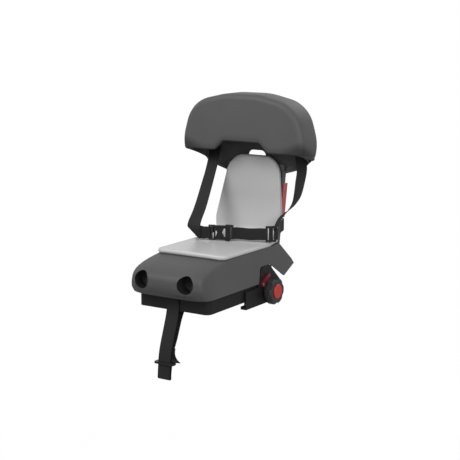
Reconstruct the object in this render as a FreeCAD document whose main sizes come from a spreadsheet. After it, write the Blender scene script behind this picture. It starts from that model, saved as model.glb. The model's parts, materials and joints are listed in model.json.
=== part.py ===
import FreeCAD, Part
import math
import os
import Sketcher
from FreeCAD import Placement, Rotation, Vector

# Rear child seat for a bicycle carrier, in millimetres.
# +Z is up, the child looks along -Y and +X is the child's left.
# The origin is the middle of the mounting tray's underside, which lies on the carrier.

doc = FreeCAD.newDocument("RearChildSeat")
sheet = doc.addObject("Spreadsheet::Sheet", "Sizes")

SIZES = {
    # air between neighbouring pieces, radial play of turning pieces, play of sliding guides
    "gap": 0.3,
    "running_play": 0.06,
    "guide_play": 0.4,
    # mounting tray
    "tray_width": 170,
    "tray_length": 262,
    "tray_height": 30.7,
    "tray_wall": 4,
    "tray_floor": 4,
    "tray_corner": 12,
    "rib_wall": 2.5,
    "rib_height": 16,
    "boss_radius": 8,
    "boss_across": 100,
    "boss_front": 95,
    "boss_rear": 30,
    "boss_height": 29,
    # seat shell: nose positions are measured ahead of the tray, the tail behind it
    "shell_base": 31,
    "shell_top": 98,
    "shell_wall": 3,
    "shell_base_width": 186,
    "shell_top_width": 164,
    "nose_lip": 24,
    "nose_reach": 37,
    "nose_level": 22,
    "nose_round": 42,
    "seat_edge_setback": 52,
    "seat_edge_round": 44,
    "tail_reach": 58,
    "tail_level": 50,
    "tail_lip": 11,
    "arch_front": 42,
    "arch_rear": 59,
    "arch_height": 63.5,
    "arch_slant": 13,
    "arch_flat": 41,
    "pocket_across": 105,
    "pocket_level": 62,
    "pocket_radius": 17.5,
    "pocket_depth": 27,
    "pocket_wall": 2.5,
    # back panel and headrest hood, one moulding
    "panel_setback": 18,
    "panel_lean": 0.165,
    "panel_depth": 10,
    "panel_width": 144,
    "panel_top": 262,
    "back_wall": 3,
    "hood_front": -16,
    "hood_depth": 70,
    "hood_top": 412,
    "hood_top_width": 80,
    "hood_shoulder": 392,
    "hood_shoulder_width": 258,
    "hood_level": 312,
    "hood_width": 304,
    "hood_corner": 280,
    "hood_corner_width": 292,
    "hood_funnel": 255,
    "hood_funnel_width": 236,
    "hood_brow": 293,
    "hood_edge": 13,
    "hood_back_share": 0.75,
    "arch_brow": 313,
    "arch_brow_width": 91,
    "arch_mouth_width": 138,
    "hand_hole_width": 44,
    "hand_hole_low": 250,
    "hand_hole_high": 288,
    # rear reflector
    "reflector_low": 150,
    "reflector_high": 222,
    "reflector_depth": 9,
    # cushion
    "cushion_depth": 10.5,
    "cushion_width": 168,
    "cushion_hip_width": 172,
    "cushion_hip": 126,
    "cushion_top_width": 122,
    "cushion_top": 279,
    "cushion_blend": 30,
    "cushion_corner": 18,
    # webbing of the harness
    "web_width": 25,
    "web_depth": 1.6,
    "web_air": 0.98,
    "belt_level": 126,
    "belt_reach": 77,
    "shoulder_across": 212,
    # buckle and adjuster
    "buckle_width": 32,
    "buckle_depth": 11,
    "socket_width": 34,
    "socket_mouth": 14,
    "socket_length": 30,
    "plug_length": 22,
    "plug_waist": 8,
    "ladder_length": 13.5,
    "ladder_bar": 1.7,
    "ladder_slot": 4,
    "arm_length": 22.5,
    "arm_width": 5,
    "arm_depth": 5,
    "adjuster_length": 22,
    "adjuster_depth": 5,
    # safety strap under the tray
    "safety_width": 28,
    "safety_drop": 140,
    "slider_level": 106,
    "slider_width": 46,
    "slider_length": 15,
    "slider_depth": 4,
    "ply_spread": 6,
    "strap_slot_setback": 20,
    # clamp
    "rail_diameter": 10,
    "spindle_setback": 84,
    "spindle_level": 10,
    "spindle_diameter": 8,
    "jaw_front": 87,
    "jaw_rear": 46,
    "jaw_depth": 5,
    "jaw_shoulder": 22,
    "foot_depth": 5,
    "foot_grip": 3.3,
    "tongue_width": 16,
    "tongue_height": 6,
    "tongue_reach": 18,
    "tongue_front": 64,
    "tongue_rear": 32,
    "washer_radius": 10,
    "washer_depth": 1.5,
    "knob_radius": 28,
    "knob_flange_radius": 22,
    "knob_flange_depth": 6,
    "knob_depth": 14,
    "knob_lobes": 6,
    "knob_bevel": 2.5,
    "scallop_radius": 14,
    "scallop_cut": 4.5,
    "insert_radius": 7,
    "cap_radius": 15,
    "cap_depth": 2.5,
    "catch_depth": 5,
    "catch_pin_radius": 2.5,
    "catch_pin_ahead": 27,
    "catch_pin_above": 18,
    "catch_length": 32,
    "catch_width": 10,
    "catch_slope": 32,
    "nut_radius": 7.5,
    "nut_depth": 6.5,
    # screws
    "screw_radius": 2.2,
    "screw_head_radius": 4.4,
    "screw_head_depth": 2.6,
    "screw_length": 16,
}
for row, (alias, value) in enumerate(SIZES.items(), start=1):
    sheet.set(f"A{row}", alias)
    sheet.set(f"B{row}", str(value))
    sheet.setAlias(f"B{row}", alias)
doc.recompute()

PIECES = []
X_AXIS, Y_AXIS, Z_AXIS = Vector(1, 0, 0), Vector(0, 1, 0), Vector(0, 0, 1)
FAR = 600


def size(alias):
    """The value of one cell of the sheet."""
    return float(sheet.get(alias))


def piece(obj, label):
    """Marks a document object as one piece of the seat."""
    obj.Label = label
    PIECES.append(obj)
    return obj


def shaped(label, shape):
    """A piece whose form is worked out from the sheet by Part's own functions."""
    obj = doc.addObject("Part::Feature", label)
    obj.Shape = shape
    obj.Placement = Placement()
    return piece(obj, label)


def new_body(name):
    """An empty body that takes sketches and features."""
    return doc.addObject("PartDesign::Body", name)


def sketch_on(body, name, role, offset="0"):
    """A sketch on one origin plane of its body, moved along the plane's normal."""
    sketch = body.newObject("Sketcher::SketchObject", name)
    plane = [item for item in body.Origin.OriginFeatures if item.Role == role][0]
    sketch.AttachmentSupport = [(plane, "")]
    sketch.MapMode = "FlatFace"
    sketch.setExpression("AttachmentOffset.Base.z", offset)
    return sketch


def polygon(sketch, corners):
    """A closed outline whose corners are pairs of expressions."""
    count = len(corners)
    first = sketch.GeometryCount
    ring = [Vector(math.cos(math.tau * i / count), math.sin(math.tau * i / count), 0) * 50 for i in range(count)]
    for i in range(count):
        sketch.addGeometry(Part.LineSegment(ring[i], ring[(i + 1) % count]))
    for i in range(count):
        sketch.addConstraint(Sketcher.Constraint("Coincident", first + i, 2, first + (i + 1) % count, 1))
    for i, (across, along) in enumerate(corners):
        for kind, text, start in (("DistanceX", across, ring[i].x), ("DistanceY", along, ring[i].y)):
            number = sketch.addConstraint(Sketcher.Constraint(kind, -1, 1, first + i, 1, start))
            sketch.setExpression(f"Constraints[{number}]", text)


def rectangle(sketch, left, right, low, high):
    """A rectangle between four expressions."""
    polygon(sketch, [(left, low), (right, low), (right, high), (left, high)])


def circle(sketch, across, along, radius):
    """A circle placed and sized by expressions."""
    number = sketch.addGeometry(Part.Circle(Vector(1, 1, 0), Z_AXIS, 5))
    bound = (
        (Sketcher.Constraint("DistanceX", -1, 1, number, 3, 1), across),
        (Sketcher.Constraint("DistanceY", -1, 1, number, 3, 1), along),
        (Sketcher.Constraint("Radius", number, 5), radius),
    )
    for constraint, text in bound:
        index = sketch.addConstraint(constraint)
        sketch.setExpression(f"Constraints[{index}]", text)


def pad(body, sketch, length, name, symmetric=False):
    """Material along the sketch's normal."""
    feature = body.newObject("PartDesign::Pad", name)
    feature.Profile = sketch
    feature.setExpression("Length", length)
    feature.SideType = "Symmetric" if symmetric else "One side"
    return feature


def pocket(body, sketch, name, length=None):
    """A cut against the sketch's normal, or right through both ways when no length is given."""
    feature = body.newObject("PartDesign::Pocket", name)
    feature.Profile = sketch
    if length is None:
        feature.Type = "ThroughAll"
        feature.SideType = "Symmetric"
    else:
        feature.setExpression("Length", length)
    return feature


def fillet(body, base, radius, chosen, name):
    """Rounds the chosen edges of a feature."""
    doc.recompute()
    names = [f"Edge{i}" for i, edge in enumerate(base.Shape.Edges, start=1) if chosen(edge)]
    feature = body.newObject("PartDesign::Fillet", name)
    feature.Base = (base, names)
    feature.setExpression("Radius", radius)
    return feature


def chamfer(body, base, width, chosen, name):
    """Bevels the chosen edges of a feature."""
    doc.recompute()
    names = [f"Edge{i}" for i, edge in enumerate(base.Shape.Edges, start=1) if chosen(edge)]
    feature = body.newObject("PartDesign::Chamfer", name)
    feature.Base = (base, names)
    feature.setExpression("Size", width)
    return feature


def along(axis):
    """A test for straight edges that run along an axis."""
    def test(edge):
        if edge.Curve.TypeId != "Part::GeomLine":
            return False
        return abs(edge.Curve.Direction.dot(axis)) > 0.999
    return test


def prism(corners, radii, axis, low, high):
    """A prism along X, Y or Z over an outline with rounded corners.

    Each corner with a radius is cut back by radius * tan(half its turn) along both sides,
    and an arc through the corner's bisector joins the two ends.
    """
    frames = {
        "X": lambda a, b: Vector(low, a, b),
        "Y": lambda a, b: Vector(a, low, b),
        "Z": lambda a, b: Vector(a, b, low),
    }
    wire = outline([frames[axis](a, b) for a, b in corners], radii)
    sweep = {"X": X_AXIS, "Y": Y_AXIS, "Z": Z_AXIS}[axis] * (high - low)
    return Part.Face(wire).extrude(sweep)


def outline(points, radii):
    """A closed wire of straight sides with an arc at each corner, as large as its radius and its sides allow.

    Where the arcs of two neighbouring corners don't both fit on the side between them, the larger one gives way.
    """
    count = len(points)
    backs = [(points[i - 1] - points[i]).normalize() for i in range(count)]
    aheads = [(points[(i + 1) % count] - points[i]).normalize() for i in range(count)]
    half_turns = [(math.pi - back.getAngle(ahead)) / 2 for back, ahead in zip(backs, aheads)]
    cuts = [radius * math.tan(half_turn) for radius, half_turn in zip(radii, half_turns)]
    for i in range(count):
        small, large = sorted((i, (i + 1) % count), key=lambda corner: cuts[corner])
        room = (points[large] - points[small]).Length * 0.98
        if cuts[small] + cuts[large] > room:
            cuts[large] = max(room - cuts[small], room / 2)
            cuts[small] = min(cuts[small], room / 2)
    starts = [corner + back * cut for corner, back, cut in zip(points, backs, cuts)]
    ends = [corner + ahead * cut for corner, ahead, cut in zip(points, aheads, cuts)]
    edges = []
    for i, corner in enumerate(points):
        if cuts[i] > 0:
            radius = cuts[i] / math.tan(half_turns[i])
            reach = radius * (1 / math.cos(half_turns[i]) - 1)
            middle = corner + (backs[i] + aheads[i]).normalize() * reach
            edges.append(Part.Arc(starts[i], middle, ends[i]).toShape())
        following = starts[(i + 1) % count]
        if ends[i].distanceToPoint(following) > 1e-6:
            edges.append(Part.LineSegment(ends[i], following).toShape())
    return Part.Wire(edges)


def mirrored_outline(half):
    """Adds the left half of an outline to its right half, given from top to bottom."""
    return half + [(-across, level) for across, level in reversed(half)]


# Places that several pieces share.
TRAY_FRONT = -size("tray_length") / 2
TRAY_REAR = size("tray_length") / 2
SEAT_EDGE = TRAY_FRONT + size("seat_edge_setback")
TAIL_TIP = TRAY_REAR + size("tail_reach")
ARCH_START = size("spindle_setback") - size("arch_front")
ARCH_END = size("spindle_setback") + size("arch_rear")
SEAT_REAR = ARCH_END - 1
PANEL_FOOT = TRAY_REAR + size("panel_setback")
PANEL_HALF = size("panel_width") / 2
NOSE_POWER = 4
NOSE_BLUNTNESS = 4
NOSE_STEPS = 8
NOSE_POINTS = 11


def panel_face(level):
    """The Y place of the back panel's leaning front face at one height."""
    return PANEL_FOOT + (level - size("shell_top")) * size("panel_lean")


def nose_line(share):
    """The nose's Y place in the middle, at a share of the shell's height.

    Below the foremost level it falls back to the lip as a square, above it to the seat's edge as a power.
    """
    lip = TRAY_FRONT - size("nose_lip")
    tip = TRAY_FRONT - size("nose_reach")
    level = size("nose_level") / (size("shell_top") - size("shell_base"))
    if share < level:
        return tip + (lip - tip) * ((level - share) / level) ** 2
    return tip + (SEAT_EDGE - tip) * ((share - level) / (1 - level)) ** NOSE_POWER


def shell_section(share, inset):
    """The shell's plan outline at a share of its height: straight sides and back, and a superellipse as its nose.

    An inner outline is moved inwards and down by its inset.
    """
    level = size("shell_base") + (size("shell_top") - size("shell_base")) * share - inset
    half = (size("shell_base_width") * (1 - share) + size("shell_top_width") * share) / 2 - inset
    front = nose_line(share) + inset
    bend = size("nose_round") * (1 - share) + size("seat_edge_round") * share
    power = 2 / NOSE_BLUNTNESS
    points = []
    for i in range(NOSE_POINTS):
        turn = math.pi * i / (NOSE_POINTS - 1)
        across = math.copysign(abs(math.cos(turn)) ** power, math.cos(turn)) * half
        points.append(Vector(across, front + bend * (1 - math.sin(turn) ** power), level))
    nose = Part.BSplineCurve()
    nose.interpolate(Points=points, Parameters=list(range(NOSE_POINTS)))
    rear = TAIL_TIP + size("tail_lip")
    corners = [points[-1], Vector(-half, rear, level), Vector(half, rear, level), points[0]]
    sides = [Part.LineSegment(a, b).toShape() for a, b in zip(corners, corners[1:])]
    return Part.Wire([nose.toShape()] + sides)


def shell_block(inset):
    """The shell's filled form, lofted through plan outlines that lie closer together towards the top."""
    level = size("nose_level") / (size("shell_top") - size("shell_base"))
    shares = [0, level / 2, level]
    shares += [level + (1 - level) * (i / NOSE_STEPS) ** 0.6 for i in range(1, NOSE_STEPS + 1)]
    return Part.makeLoft([shell_section(share, inset) for share in shares], True, True)


def tail_prism(inset, low):
    """Everything the shell's side view keeps: level top, sloping tail and, where low is raised, the tail's underside."""
    drop = inset * 1.4
    corners = [
        (-FAR, -FAR),
        (ARCH_END if low else TAIL_TIP - inset, -FAR),
        (ARCH_END if low else TAIL_TIP - inset, size("shell_base") if low else 0),
        (TAIL_TIP - inset, size("tail_level")),
        (TAIL_TIP - inset - 8, size("tail_level") + size("tail_lip") - drop / 2),
        (SEAT_REAR - drop, size("shell_top")),
        (SEAT_REAR - drop, FAR),
        (-FAR, FAR),
    ]
    return prism(corners, [0, 0, 0, 0, 4, 0, 0, 0], "X", -FAR, FAR)


def arch_prism():
    """The arched opening over the clamp, right through both sides."""
    start, end, top = ARCH_START, ARCH_END, size("arch_height")
    flat_start = start + size("arch_slant")
    corners = [
        (start, -FAR),
        (start, size("shell_base")),
        (flat_start, top),
        (flat_start + size("arch_flat"), top),
        (end, size("shell_base")),
        (end, -FAR),
    ]
    return prism(corners, [0, 4, 10, 18, 0, 0], "X", -FAR, FAR)


def boss_places():
    """The four screw bosses that join the tray and the shell."""
    half = size("boss_across") / 2
    rows = (-size("boss_front"), size("boss_rear"))
    return [Vector(side * half, along_y, 0) for side in (-1, 1) for along_y in rows]


def seat_shell():
    """The moulded seat base: nose with two round pockets, side arches and a sloping tail, open below."""
    wall = size("shell_wall")
    outer = shell_block(0).common(tail_prism(0, True))
    inner = shell_block(wall).common(tail_prism(wall, False))
    shell = outer.cut(inner).cut(arch_prism())
    reach = size("nose_reach") + 20
    for side in (-1, 1):
        mouth = Vector(side * size("pocket_across") / 2, TRAY_FRONT - reach, size("pocket_level"))
        floor = TRAY_FRONT - size("nose_reach") + size("pocket_depth")
        depth = floor - mouth.y
        cup = Part.makeCylinder(size("pocket_radius") + size("pocket_wall"), depth + wall, mouth, Y_AXIS)
        hole = Part.makeCylinder(size("pocket_radius"), depth, mouth, Y_AXIS)
        shell = shell.fuse(cup.common(outer)).cut(hole)
    for place in boss_places():
        foot = place + Z_AXIS * (size("boss_height") + size("gap") / 2)
        boss = Part.makeCylinder(size("boss_radius"), size("shell_top"), foot).common(outer)
        pilot = Part.makeCylinder(size("screw_radius"), size("screw_length"), foot)
        shell = shell.fuse(boss).cut(pilot)
    return shaped("seat_shell", shell)


def mounting_tray():
    """The black tray on the carrier: walls, floor, ribs, bosses, guide slots and the strap's slots."""
    body = new_body("MountingTray")
    half_w, half_l = "Sizes.tray_width / 2", "Sizes.tray_length / 2"
    block = sketch_on(body, "TrayPlan", "XY_Plane")
    rectangle(block, f"-{half_w}", half_w, f"-{half_l}", half_l)
    solid = pad(body, block, "Sizes.tray_height", "TrayBlock")
    rounded = fillet(body, solid, "Sizes.tray_corner", along(Z_AXIS), "TrayCorners")
    body.Tip = rounded
    hollow = sketch_on(body, "TrayHollowPlan", "XY_Plane", "Sizes.tray_height")
    in_w, in_l = "(Sizes.tray_width / 2 - Sizes.tray_wall)", "(Sizes.tray_length / 2 - Sizes.tray_wall)"
    rectangle(hollow, f"-{in_w}", in_w, f"-{in_l}", in_l)
    pocket(body, hollow, "TrayHollow", "Sizes.tray_height - Sizes.tray_floor")
    ribs = sketch_on(body, "RibPlan", "XY_Plane", "Sizes.tray_floor / 2")
    half_rib = "Sizes.rib_wall / 2"
    for place in ("-Sizes.boss_front", "-Sizes.boss_front / 3", "Sizes.boss_rear"):
        rectangle(ribs, f"-{in_w} - 1", f"{in_w} + 1", f"{place} - {half_rib}", f"{place} + {half_rib}")
    pad(body, ribs, "Sizes.rib_height", "Ribs")
    bosses = sketch_on(body, "BossPlan", "XY_Plane", "Sizes.tray_floor / 2")
    for side in ("-", ""):
        for place in ("-Sizes.boss_front", "Sizes.boss_rear"):
            circle(bosses, f"{side}Sizes.boss_across / 2", place, "Sizes.boss_radius")
    pad(body, bosses, "Sizes.boss_height - Sizes.gap / 2 - Sizes.tray_floor / 2", "Bosses")
    heads = sketch_on(body, "ScrewPlan", "XY_Plane", "Sizes.tray_height")
    seats = sketch_on(body, "ScrewSeatPlan", "XY_Plane", "Sizes.screw_head_depth + Sizes.gap")
    for side in ("-", ""):
        for place in ("-Sizes.boss_front", "Sizes.boss_rear"):
            circle(heads, f"{side}Sizes.boss_across / 2", place, "Sizes.screw_radius + Sizes.gap")
            circle(seats, f"{side}Sizes.boss_across / 2", place, "Sizes.screw_head_radius + Sizes.gap")
    pocket(body, heads, "ScrewHoles")
    pocket(body, seats, "ScrewSeats", "Sizes.screw_head_depth + Sizes.gap + 1")
    side_view = sketch_on(body, "SideHoles", "YZ_Plane")
    circle(side_view, "Sizes.spindle_setback", "Sizes.spindle_level", "Sizes.spindle_diameter / 2 + Sizes.gap")
    for place in ("Sizes.spindle_setback - Sizes.tongue_front", "Sizes.spindle_setback + Sizes.tongue_rear"):
        half_t = "(Sizes.tongue_width / 2 + Sizes.guide_play)"
        low = "Sizes.spindle_level - Sizes.tongue_height / 2 - Sizes.guide_play"
        high = "Sizes.spindle_level + Sizes.tongue_height / 2 + Sizes.guide_play"
        rectangle(side_view, f"{place} - {half_t}", f"{place} + {half_t}", low, high)
    pocket(body, side_view, "GuideSlots")
    half_s = "(Sizes.safety_width / 2 + 2)"
    slot = sketch_on(body, "StrapSlotPlan", "XY_Plane", "Sizes.tray_floor + 1")
    setback = "(Sizes.strap_slot_setback - Sizes.tray_length / 2)"
    rectangle(slot, f"-{half_s}", half_s, f"{setback} - 3.5", f"{setback} + 3.5")
    pocket(body, slot, "StrapSlot", "Sizes.tray_floor + 2")
    notch = sketch_on(body, "StrapNotchView", "XZ_Plane", "Sizes.tray_length / 2 + 1")
    rectangle(notch, f"-{half_s}", half_s, "Sizes.boss_height - 1", "Sizes.tray_height + 1")
    pocket(body, notch, "StrapNotch", "Sizes.tray_wall + 2")
    return piece(body, "mounting_tray")


def hood_section(place, inset):
    """The headrest's front view at one depth: crowned top, round shoulders, sides that swell and a funnel below."""
    half = [
        (size("hood_top_width") / 2, size("hood_top")),
        (size("hood_shoulder_width") / 2, size("hood_shoulder")),
        (size("hood_width") / 2, size("hood_level")),
        (size("hood_corner_width") / 2, size("hood_corner")),
        (size("hood_funnel_width") / 2, size("hood_funnel")),
        (PANEL_HALF, panel_low()),
    ]
    points = [Vector(across, place, level) for across, level in mirrored_outline(half)]
    radii = [170, 72, 90, 24, 24, 0]
    wire = outline(points, radii + radii[::-1])
    return wire.makeOffset2D(-inset) if inset else wire


def panel_low():
    """The height where the headrest's funnel meets the back panel's edges."""
    return size("hand_hole_low") - 8


def hood_block(inset, front, back, steps):
    """The headrest's filled form: front and back edges rounded by insetting its outline towards both faces.

    Both roundings are quarter ellipses as deep as the edge size, walked in even turns.
    """
    edge = size("hood_edge")
    turns = [math.pi / 2 * i / steps for i in range(steps + 1)]
    rim = [(edge * (1 - math.cos(turn)), edge * (1 - math.sin(turn))) for turn in turns]
    stations = [(front + depth, step) for depth, step in rim]
    stations += [(back - depth, step * size("hood_back_share")) for depth, step in reversed(rim)]
    return Part.makeLoft([hood_section(place, step + inset) for place, step in stations], True, True)


def back_shell():
    """Back panel and headrest in one moulding: a leaning ribbed panel under a hood that is open below."""
    wall = size("back_wall")
    front = TRAY_REAR + size("hood_front")
    back = front + size("hood_depth")
    rear_wall = back - 18
    foot = size("tail_level")
    chin = size("hood_corner") - 4
    hood = hood_block(0, front, back, 5)
    room = hood_block(wall, front + wall, back - wall, 2)
    brow = [
        (front - 60, foot),
        (front - 60, size("hood_brow")),
        (front, size("hood_brow")),
        (panel_face(chin), chin),
        (panel_face(foot), foot),
    ]
    hood = hood.cut(room).cut(prism(brow, [0] * 5, "X", -FAR, FAR))
    arch = [
        (size("arch_brow_width") / 2, size("arch_brow")),
        (size("arch_mouth_width") / 2, size("hood_brow") - 4),
        (size("arch_mouth_width") / 2, size("hood_brow") - 60),
    ]
    hood = hood.cut(prism(mirrored_outline(arch), [9, 9, 0, 0, 9, 9], "Y", front - 60, rear_wall))
    panel = leaning_slab(0, size("panel_depth"), PANEL_HALF, foot, size("panel_top"))
    recess = leaning_slab(wall, FAR / 10, PANEL_HALF - wall, foot, size("panel_top") - wall)
    ribs = []
    for across in (-1, 0, 1):
        slab = leaning_slab(0, size("panel_depth") - wall, size("rib_wall") / 2, foot, panel_low())
        slab.translate(X_AXIS * across * PANEL_HALF / 2)
        ribs.append(slab)
    for share in (0.3, 0.5, 0.7, 0.9):
        level = size("shell_top") + (panel_low() - size("shell_top")) * share
        depth = size("panel_depth") - wall
        ribs.append(leaning_slab(0, depth, PANEL_HALF - wall / 2, level, level + size("rib_wall")))
    shell = panel.cut(recess).fuse(ribs).cut(tail_prism(0, True)).fuse(hood)
    half_hole = size("hand_hole_width") / 2
    hole = [(half_hole, size("hand_hole_high")), (half_hole, size("hand_hole_low"))]
    shell = shell.cut(prism(mirrored_outline(hole), [12, 8, 8, 12], "Y", front, back + FAR))
    return shaped("back_shell", shell.removeSplitter())


def leaning_slab(near, far, half, low, high):
    """A slab parallel to the back panel's front face, between two depths behind it and two heights."""
    corners = [
        (panel_face(low) + near, low),
        (panel_face(low) + far, low),
        (panel_face(high) + far, high),
        (panel_face(high) + near, high),
    ]
    return prism(corners, [0] * 4, "X", -half, half)


def rear_reflector():
    """The red reflector across the back panel's edges."""
    body = new_body("RearReflector")
    view = sketch_on(body, "ReflectorSide", "YZ_Plane")
    foot = "Sizes.tray_length / 2 + Sizes.panel_setback + Sizes.panel_depth"
    lean = "- Sizes.shell_top) * Sizes.panel_lean"
    low, high = "Sizes.reflector_low", "Sizes.reflector_high"
    polygon(view, [
        (f"{foot} + ({low} {lean}", low),
        (f"{foot} + ({low} {lean} + Sizes.reflector_depth", low),
        (f"{foot} + ({high} {lean} + Sizes.reflector_depth", high),
        (f"{foot} + ({high} {lean}", high),
    ])
    plate = pad(body, view, "Sizes.panel_width", "ReflectorPlate", symmetric=True)
    body.Tip = fillet(body, plate, "Sizes.reflector_depth / 2", rear_upright, "ReflectorCorners")
    return piece(body, "rear_reflector")


def rear_upright(edge):
    """The reflector's two upright edges that face backwards."""
    middle = edge.CenterOfMass
    face = panel_face(middle.z) + size("panel_depth")
    return abs(abs(middle.x) - PANEL_HALF) < 0.01 and middle.y - face > size("reflector_depth") * 0.9


def cushion():
    """The one-piece moulded cushion: side view bent at the hip, trimmed by its front view and its plan."""
    air, depth = size("gap"), size("cushion_depth")
    low = size("shell_top") + air
    top = size("cushion_top")
    front = SEAT_EDGE + 2
    side_view = [
        (front, low),
        (panel_face(low) - air, low),
        (panel_face(top) - air, top),
        (panel_face(top) - air - depth, top),
        (panel_face(low + depth) - air - depth, low + depth),
        (front, low + depth),
    ]
    blend = size("cushion_blend")
    body = prism(side_view, [0, 0, 3, 7, blend, 6], "X", -FAR / 2, FAR / 2)
    front_view = [
        (size("cushion_top_width") / 2, top + 1),
        (size("cushion_hip_width") / 2, size("cushion_hip")),
        (size("cushion_hip_width") / 2, low - 1),
    ]
    body = body.common(prism(mirrored_outline(front_view), [42, 60, 0, 0, 60, 42], "Y", -FAR, FAR))
    corner = size("cushion_corner")
    plan = [
        (size("cushion_hip_width") / 2 + 1, FAR),
        (size("cushion_width") / 2, 0),
        (size("cushion_width") / 2, front + corner),
        (size("cushion_width") / 2 - corner / 2, front),
    ]
    body = body.common(prism(mirrored_outline(plan), [0, 200, 14, 14, 14, 14, 200, 0], "Z", 0, FAR))
    return shaped("cushion", body)


def ribbon(route, flats, width, smooth=True):
    """Webbing along a route: rectangles across it, joined by ruled faces.

    At each station the long side lies along the given flat direction, made square to the route.
    A smooth route is read from a curve through its points, three stations to each run.
    """
    points, sides = route, flats
    if smooth:
        curve = Part.BSplineCurve()
        curve.interpolate(points)
        steps = 3 * (len(points) - 1)
        knots = [curve.parameter(p) for p in points]
        fine, fine_sides = [], []
        for i in range(steps + 1):
            run = min(i // 3, len(points) - 2)
            share = i / 3 - run
            fine.append(curve.value(knots[run] + (knots[run + 1] - knots[run]) * share))
            fine_sides.append(sides[run] * (1 - share) + sides[run + 1] * share)
        points, sides = fine, fine_sides
    sections = []
    for i, point in enumerate(points):
        heading = (points[min(i + 1, len(points) - 1)] - points[max(i - 1, 0)]).normalize()
        flat = (sides[i] - heading * sides[i].dot(heading)).normalize() * (width / 2)
        thick = heading.cross(flat).normalize() * (size("web_depth") / 2)
        ring = [point + flat + thick, point - flat + thick, point - flat - thick, point + flat - thick]
        sections.append(Part.makePolygon(ring + ring[:1]))
    return Part.makeLoft(sections, True, True)


BELT = {
    "fold": Vector(-62, TRAY_REAR - size("belt_reach") - 21, size("belt_level") - 0.5),
    "buckle": Vector(-13, TRAY_REAR - size("belt_reach"), size("belt_level") + 0.5),
    "adjuster": Vector(87, TRAY_REAR - size("belt_reach") + 43.4, size("belt_level") + 0.5),
}
BUCKLE_TURN = 23
ADJUSTER_TURN = 40
WEB_STEP = size("web_depth") + size("gap") + 0.2


def turned(angle):
    """The X direction turned about Z."""
    return Vector(math.cos(math.radians(angle)), math.sin(math.radians(angle)), 0)


def hood_back_face():
    """The Y place of the inner face of the headrest's back wall."""
    return TRAY_REAR + size("hood_front") + size("hood_depth") - size("back_wall")


def shoulder_top(side):
    """The first stations of a shoulder strap, flat on the headrest's back wall."""
    across = side * size("shoulder_across") / 2
    rest = hood_back_face() - 2 * size("gap") - size("web_depth") / 2
    brow = size("hood_brow")
    return [Vector(across, rest, brow + 24), Vector(across, rest, brow + 16), Vector(across, rest - 0.6, brow + 8)]


def fold_corner():
    """What the slanting fold at the belt's left end takes off both of its plies."""
    fold, half = BELT["fold"], size("web_width") / 2
    low, high = fold.z - half, fold.z + half
    corners = [(fold.x - 3 * half, high + 2 * half), (fold.x - 3 * half, low - 2 * half), (fold.x + 3 * half, low - 2 * half)]
    corner = prism(corners, [0, 0, 0], "Y", fold.y - 8, fold.y + 3)
    corner.rotate(fold, Z_AXIS, BUCKLE_TURN)
    return corner


def shoulder_strap_left():
    """A straight run from the headrest to the belt's left end, and the ply that goes on from its fold to the buckle."""
    along_belt, behind = turned(BUCKLE_TURN), turned(BUCKLE_TURN + 90)
    end = BELT["fold"] - behind * WEB_STEP
    route = shoulder_top(-1) + [
        end + Vector(-38.5, 128, 150),
        end + Vector(-27.5, 91, 113),
        end + Vector(-17, 55.5, 77),
        end + Vector(-5.5, 17, 36),
        end + Vector(-1, 3.2, 21),
        end - behind * 0.2 + Z_AXIS * 12,
        end - behind * 0.2 - Z_AXIS * 13,
    ]
    flats = [X_AXIS] * 5 + [turned(BUCKLE_TURN / 3), turned(BUCKLE_TURN * 0.7)] + [along_belt] * 3
    run = ribbon(route, flats, size("web_width"))
    plug = level_end("buckle", BUCKLE_TURN, -size("plug_length") - size("gap"))
    ply = plug + [BELT["fold"] + along_belt * 8, BELT["fold"], BELT["fold"] - along_belt * 13]
    web = ribbon(ply, [Z_AXIS] * len(ply), size("web_width"))
    solids = [run.cut(fold_corner()), web.cut(fold_corner())]
    return shaped("shoulder_strap_left", Part.makeCompound(solids))


def shoulder_strap_right():
    """A slack run that bows outwards and turns its flat sideways, ending flat on the lap strap's outer side."""
    end = right_lap_run() + X_AXIS * (WEB_STEP + 1.2)
    route = shoulder_top(1) + [
        end + Vector(9, 57, 150),
        end + Vector(18, 50, 125),
        end + Vector(21.2, 43, 103),
        end + Vector(18.7, 36, 81),
        end + Vector(12, 27, 60),
        end + Vector(5, 16.5, 41.5),
        end + Vector(1.3, 6.5, 25.5),
        end + Vector(0.2, 1, 13),
        end + Vector(0, 0, -11),
    ]
    flats = [X_AXIS] * 4 + [
        Vector(1, -0.05, 0),
        Vector(0.97, -0.2, 0),
        Vector(0.88, -0.45, 0.05),
        Vector(0.7, -0.7, 0.1),
        Vector(0.45, -0.88, 0.1),
        Vector(0.2, -0.97, 0.05),
        -Y_AXIS,
        -Y_AXIS,
    ]
    return shaped("shoulder_strap_right", ribbon(route, flats, size("web_width")))


def right_lap_run():
    """The middle of the right lap strap's straight run beside the cushion."""
    return BELT["adjuster"] + Vector(13.5, 20, 0)


def lap_anchor(side, level):
    """The last stations of a lap strap: round the cushion's hip and flat on the back panel's side."""
    seat = PANEL_HALF + 2 * size("gap") + size("web_depth") / 2
    hip = size("cushion_hip_width") / 2 + size("gap") + size("web_depth") + 2
    face = panel_face(level)
    return [
        Vector(side * hip, face - size("cushion_depth"), level),
        Vector(side * (hip - 0.5), face + 2, level),
        Vector(side * (seat + 8), face + 6, level),
        Vector(side * (seat + 2), face + 8, level),
        Vector(side * seat, face + size("panel_depth") + 0.5, level),
    ]


def level_end(spot, angle, reach):
    """Two stations of a web that leaves a belt fitting level, the first just clear of it."""
    lead = turned(angle) * math.copysign(1, reach)
    first = BELT[spot] + turned(angle) * reach + lead * size("web_air")
    return [first, first + lead * 3]


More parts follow.
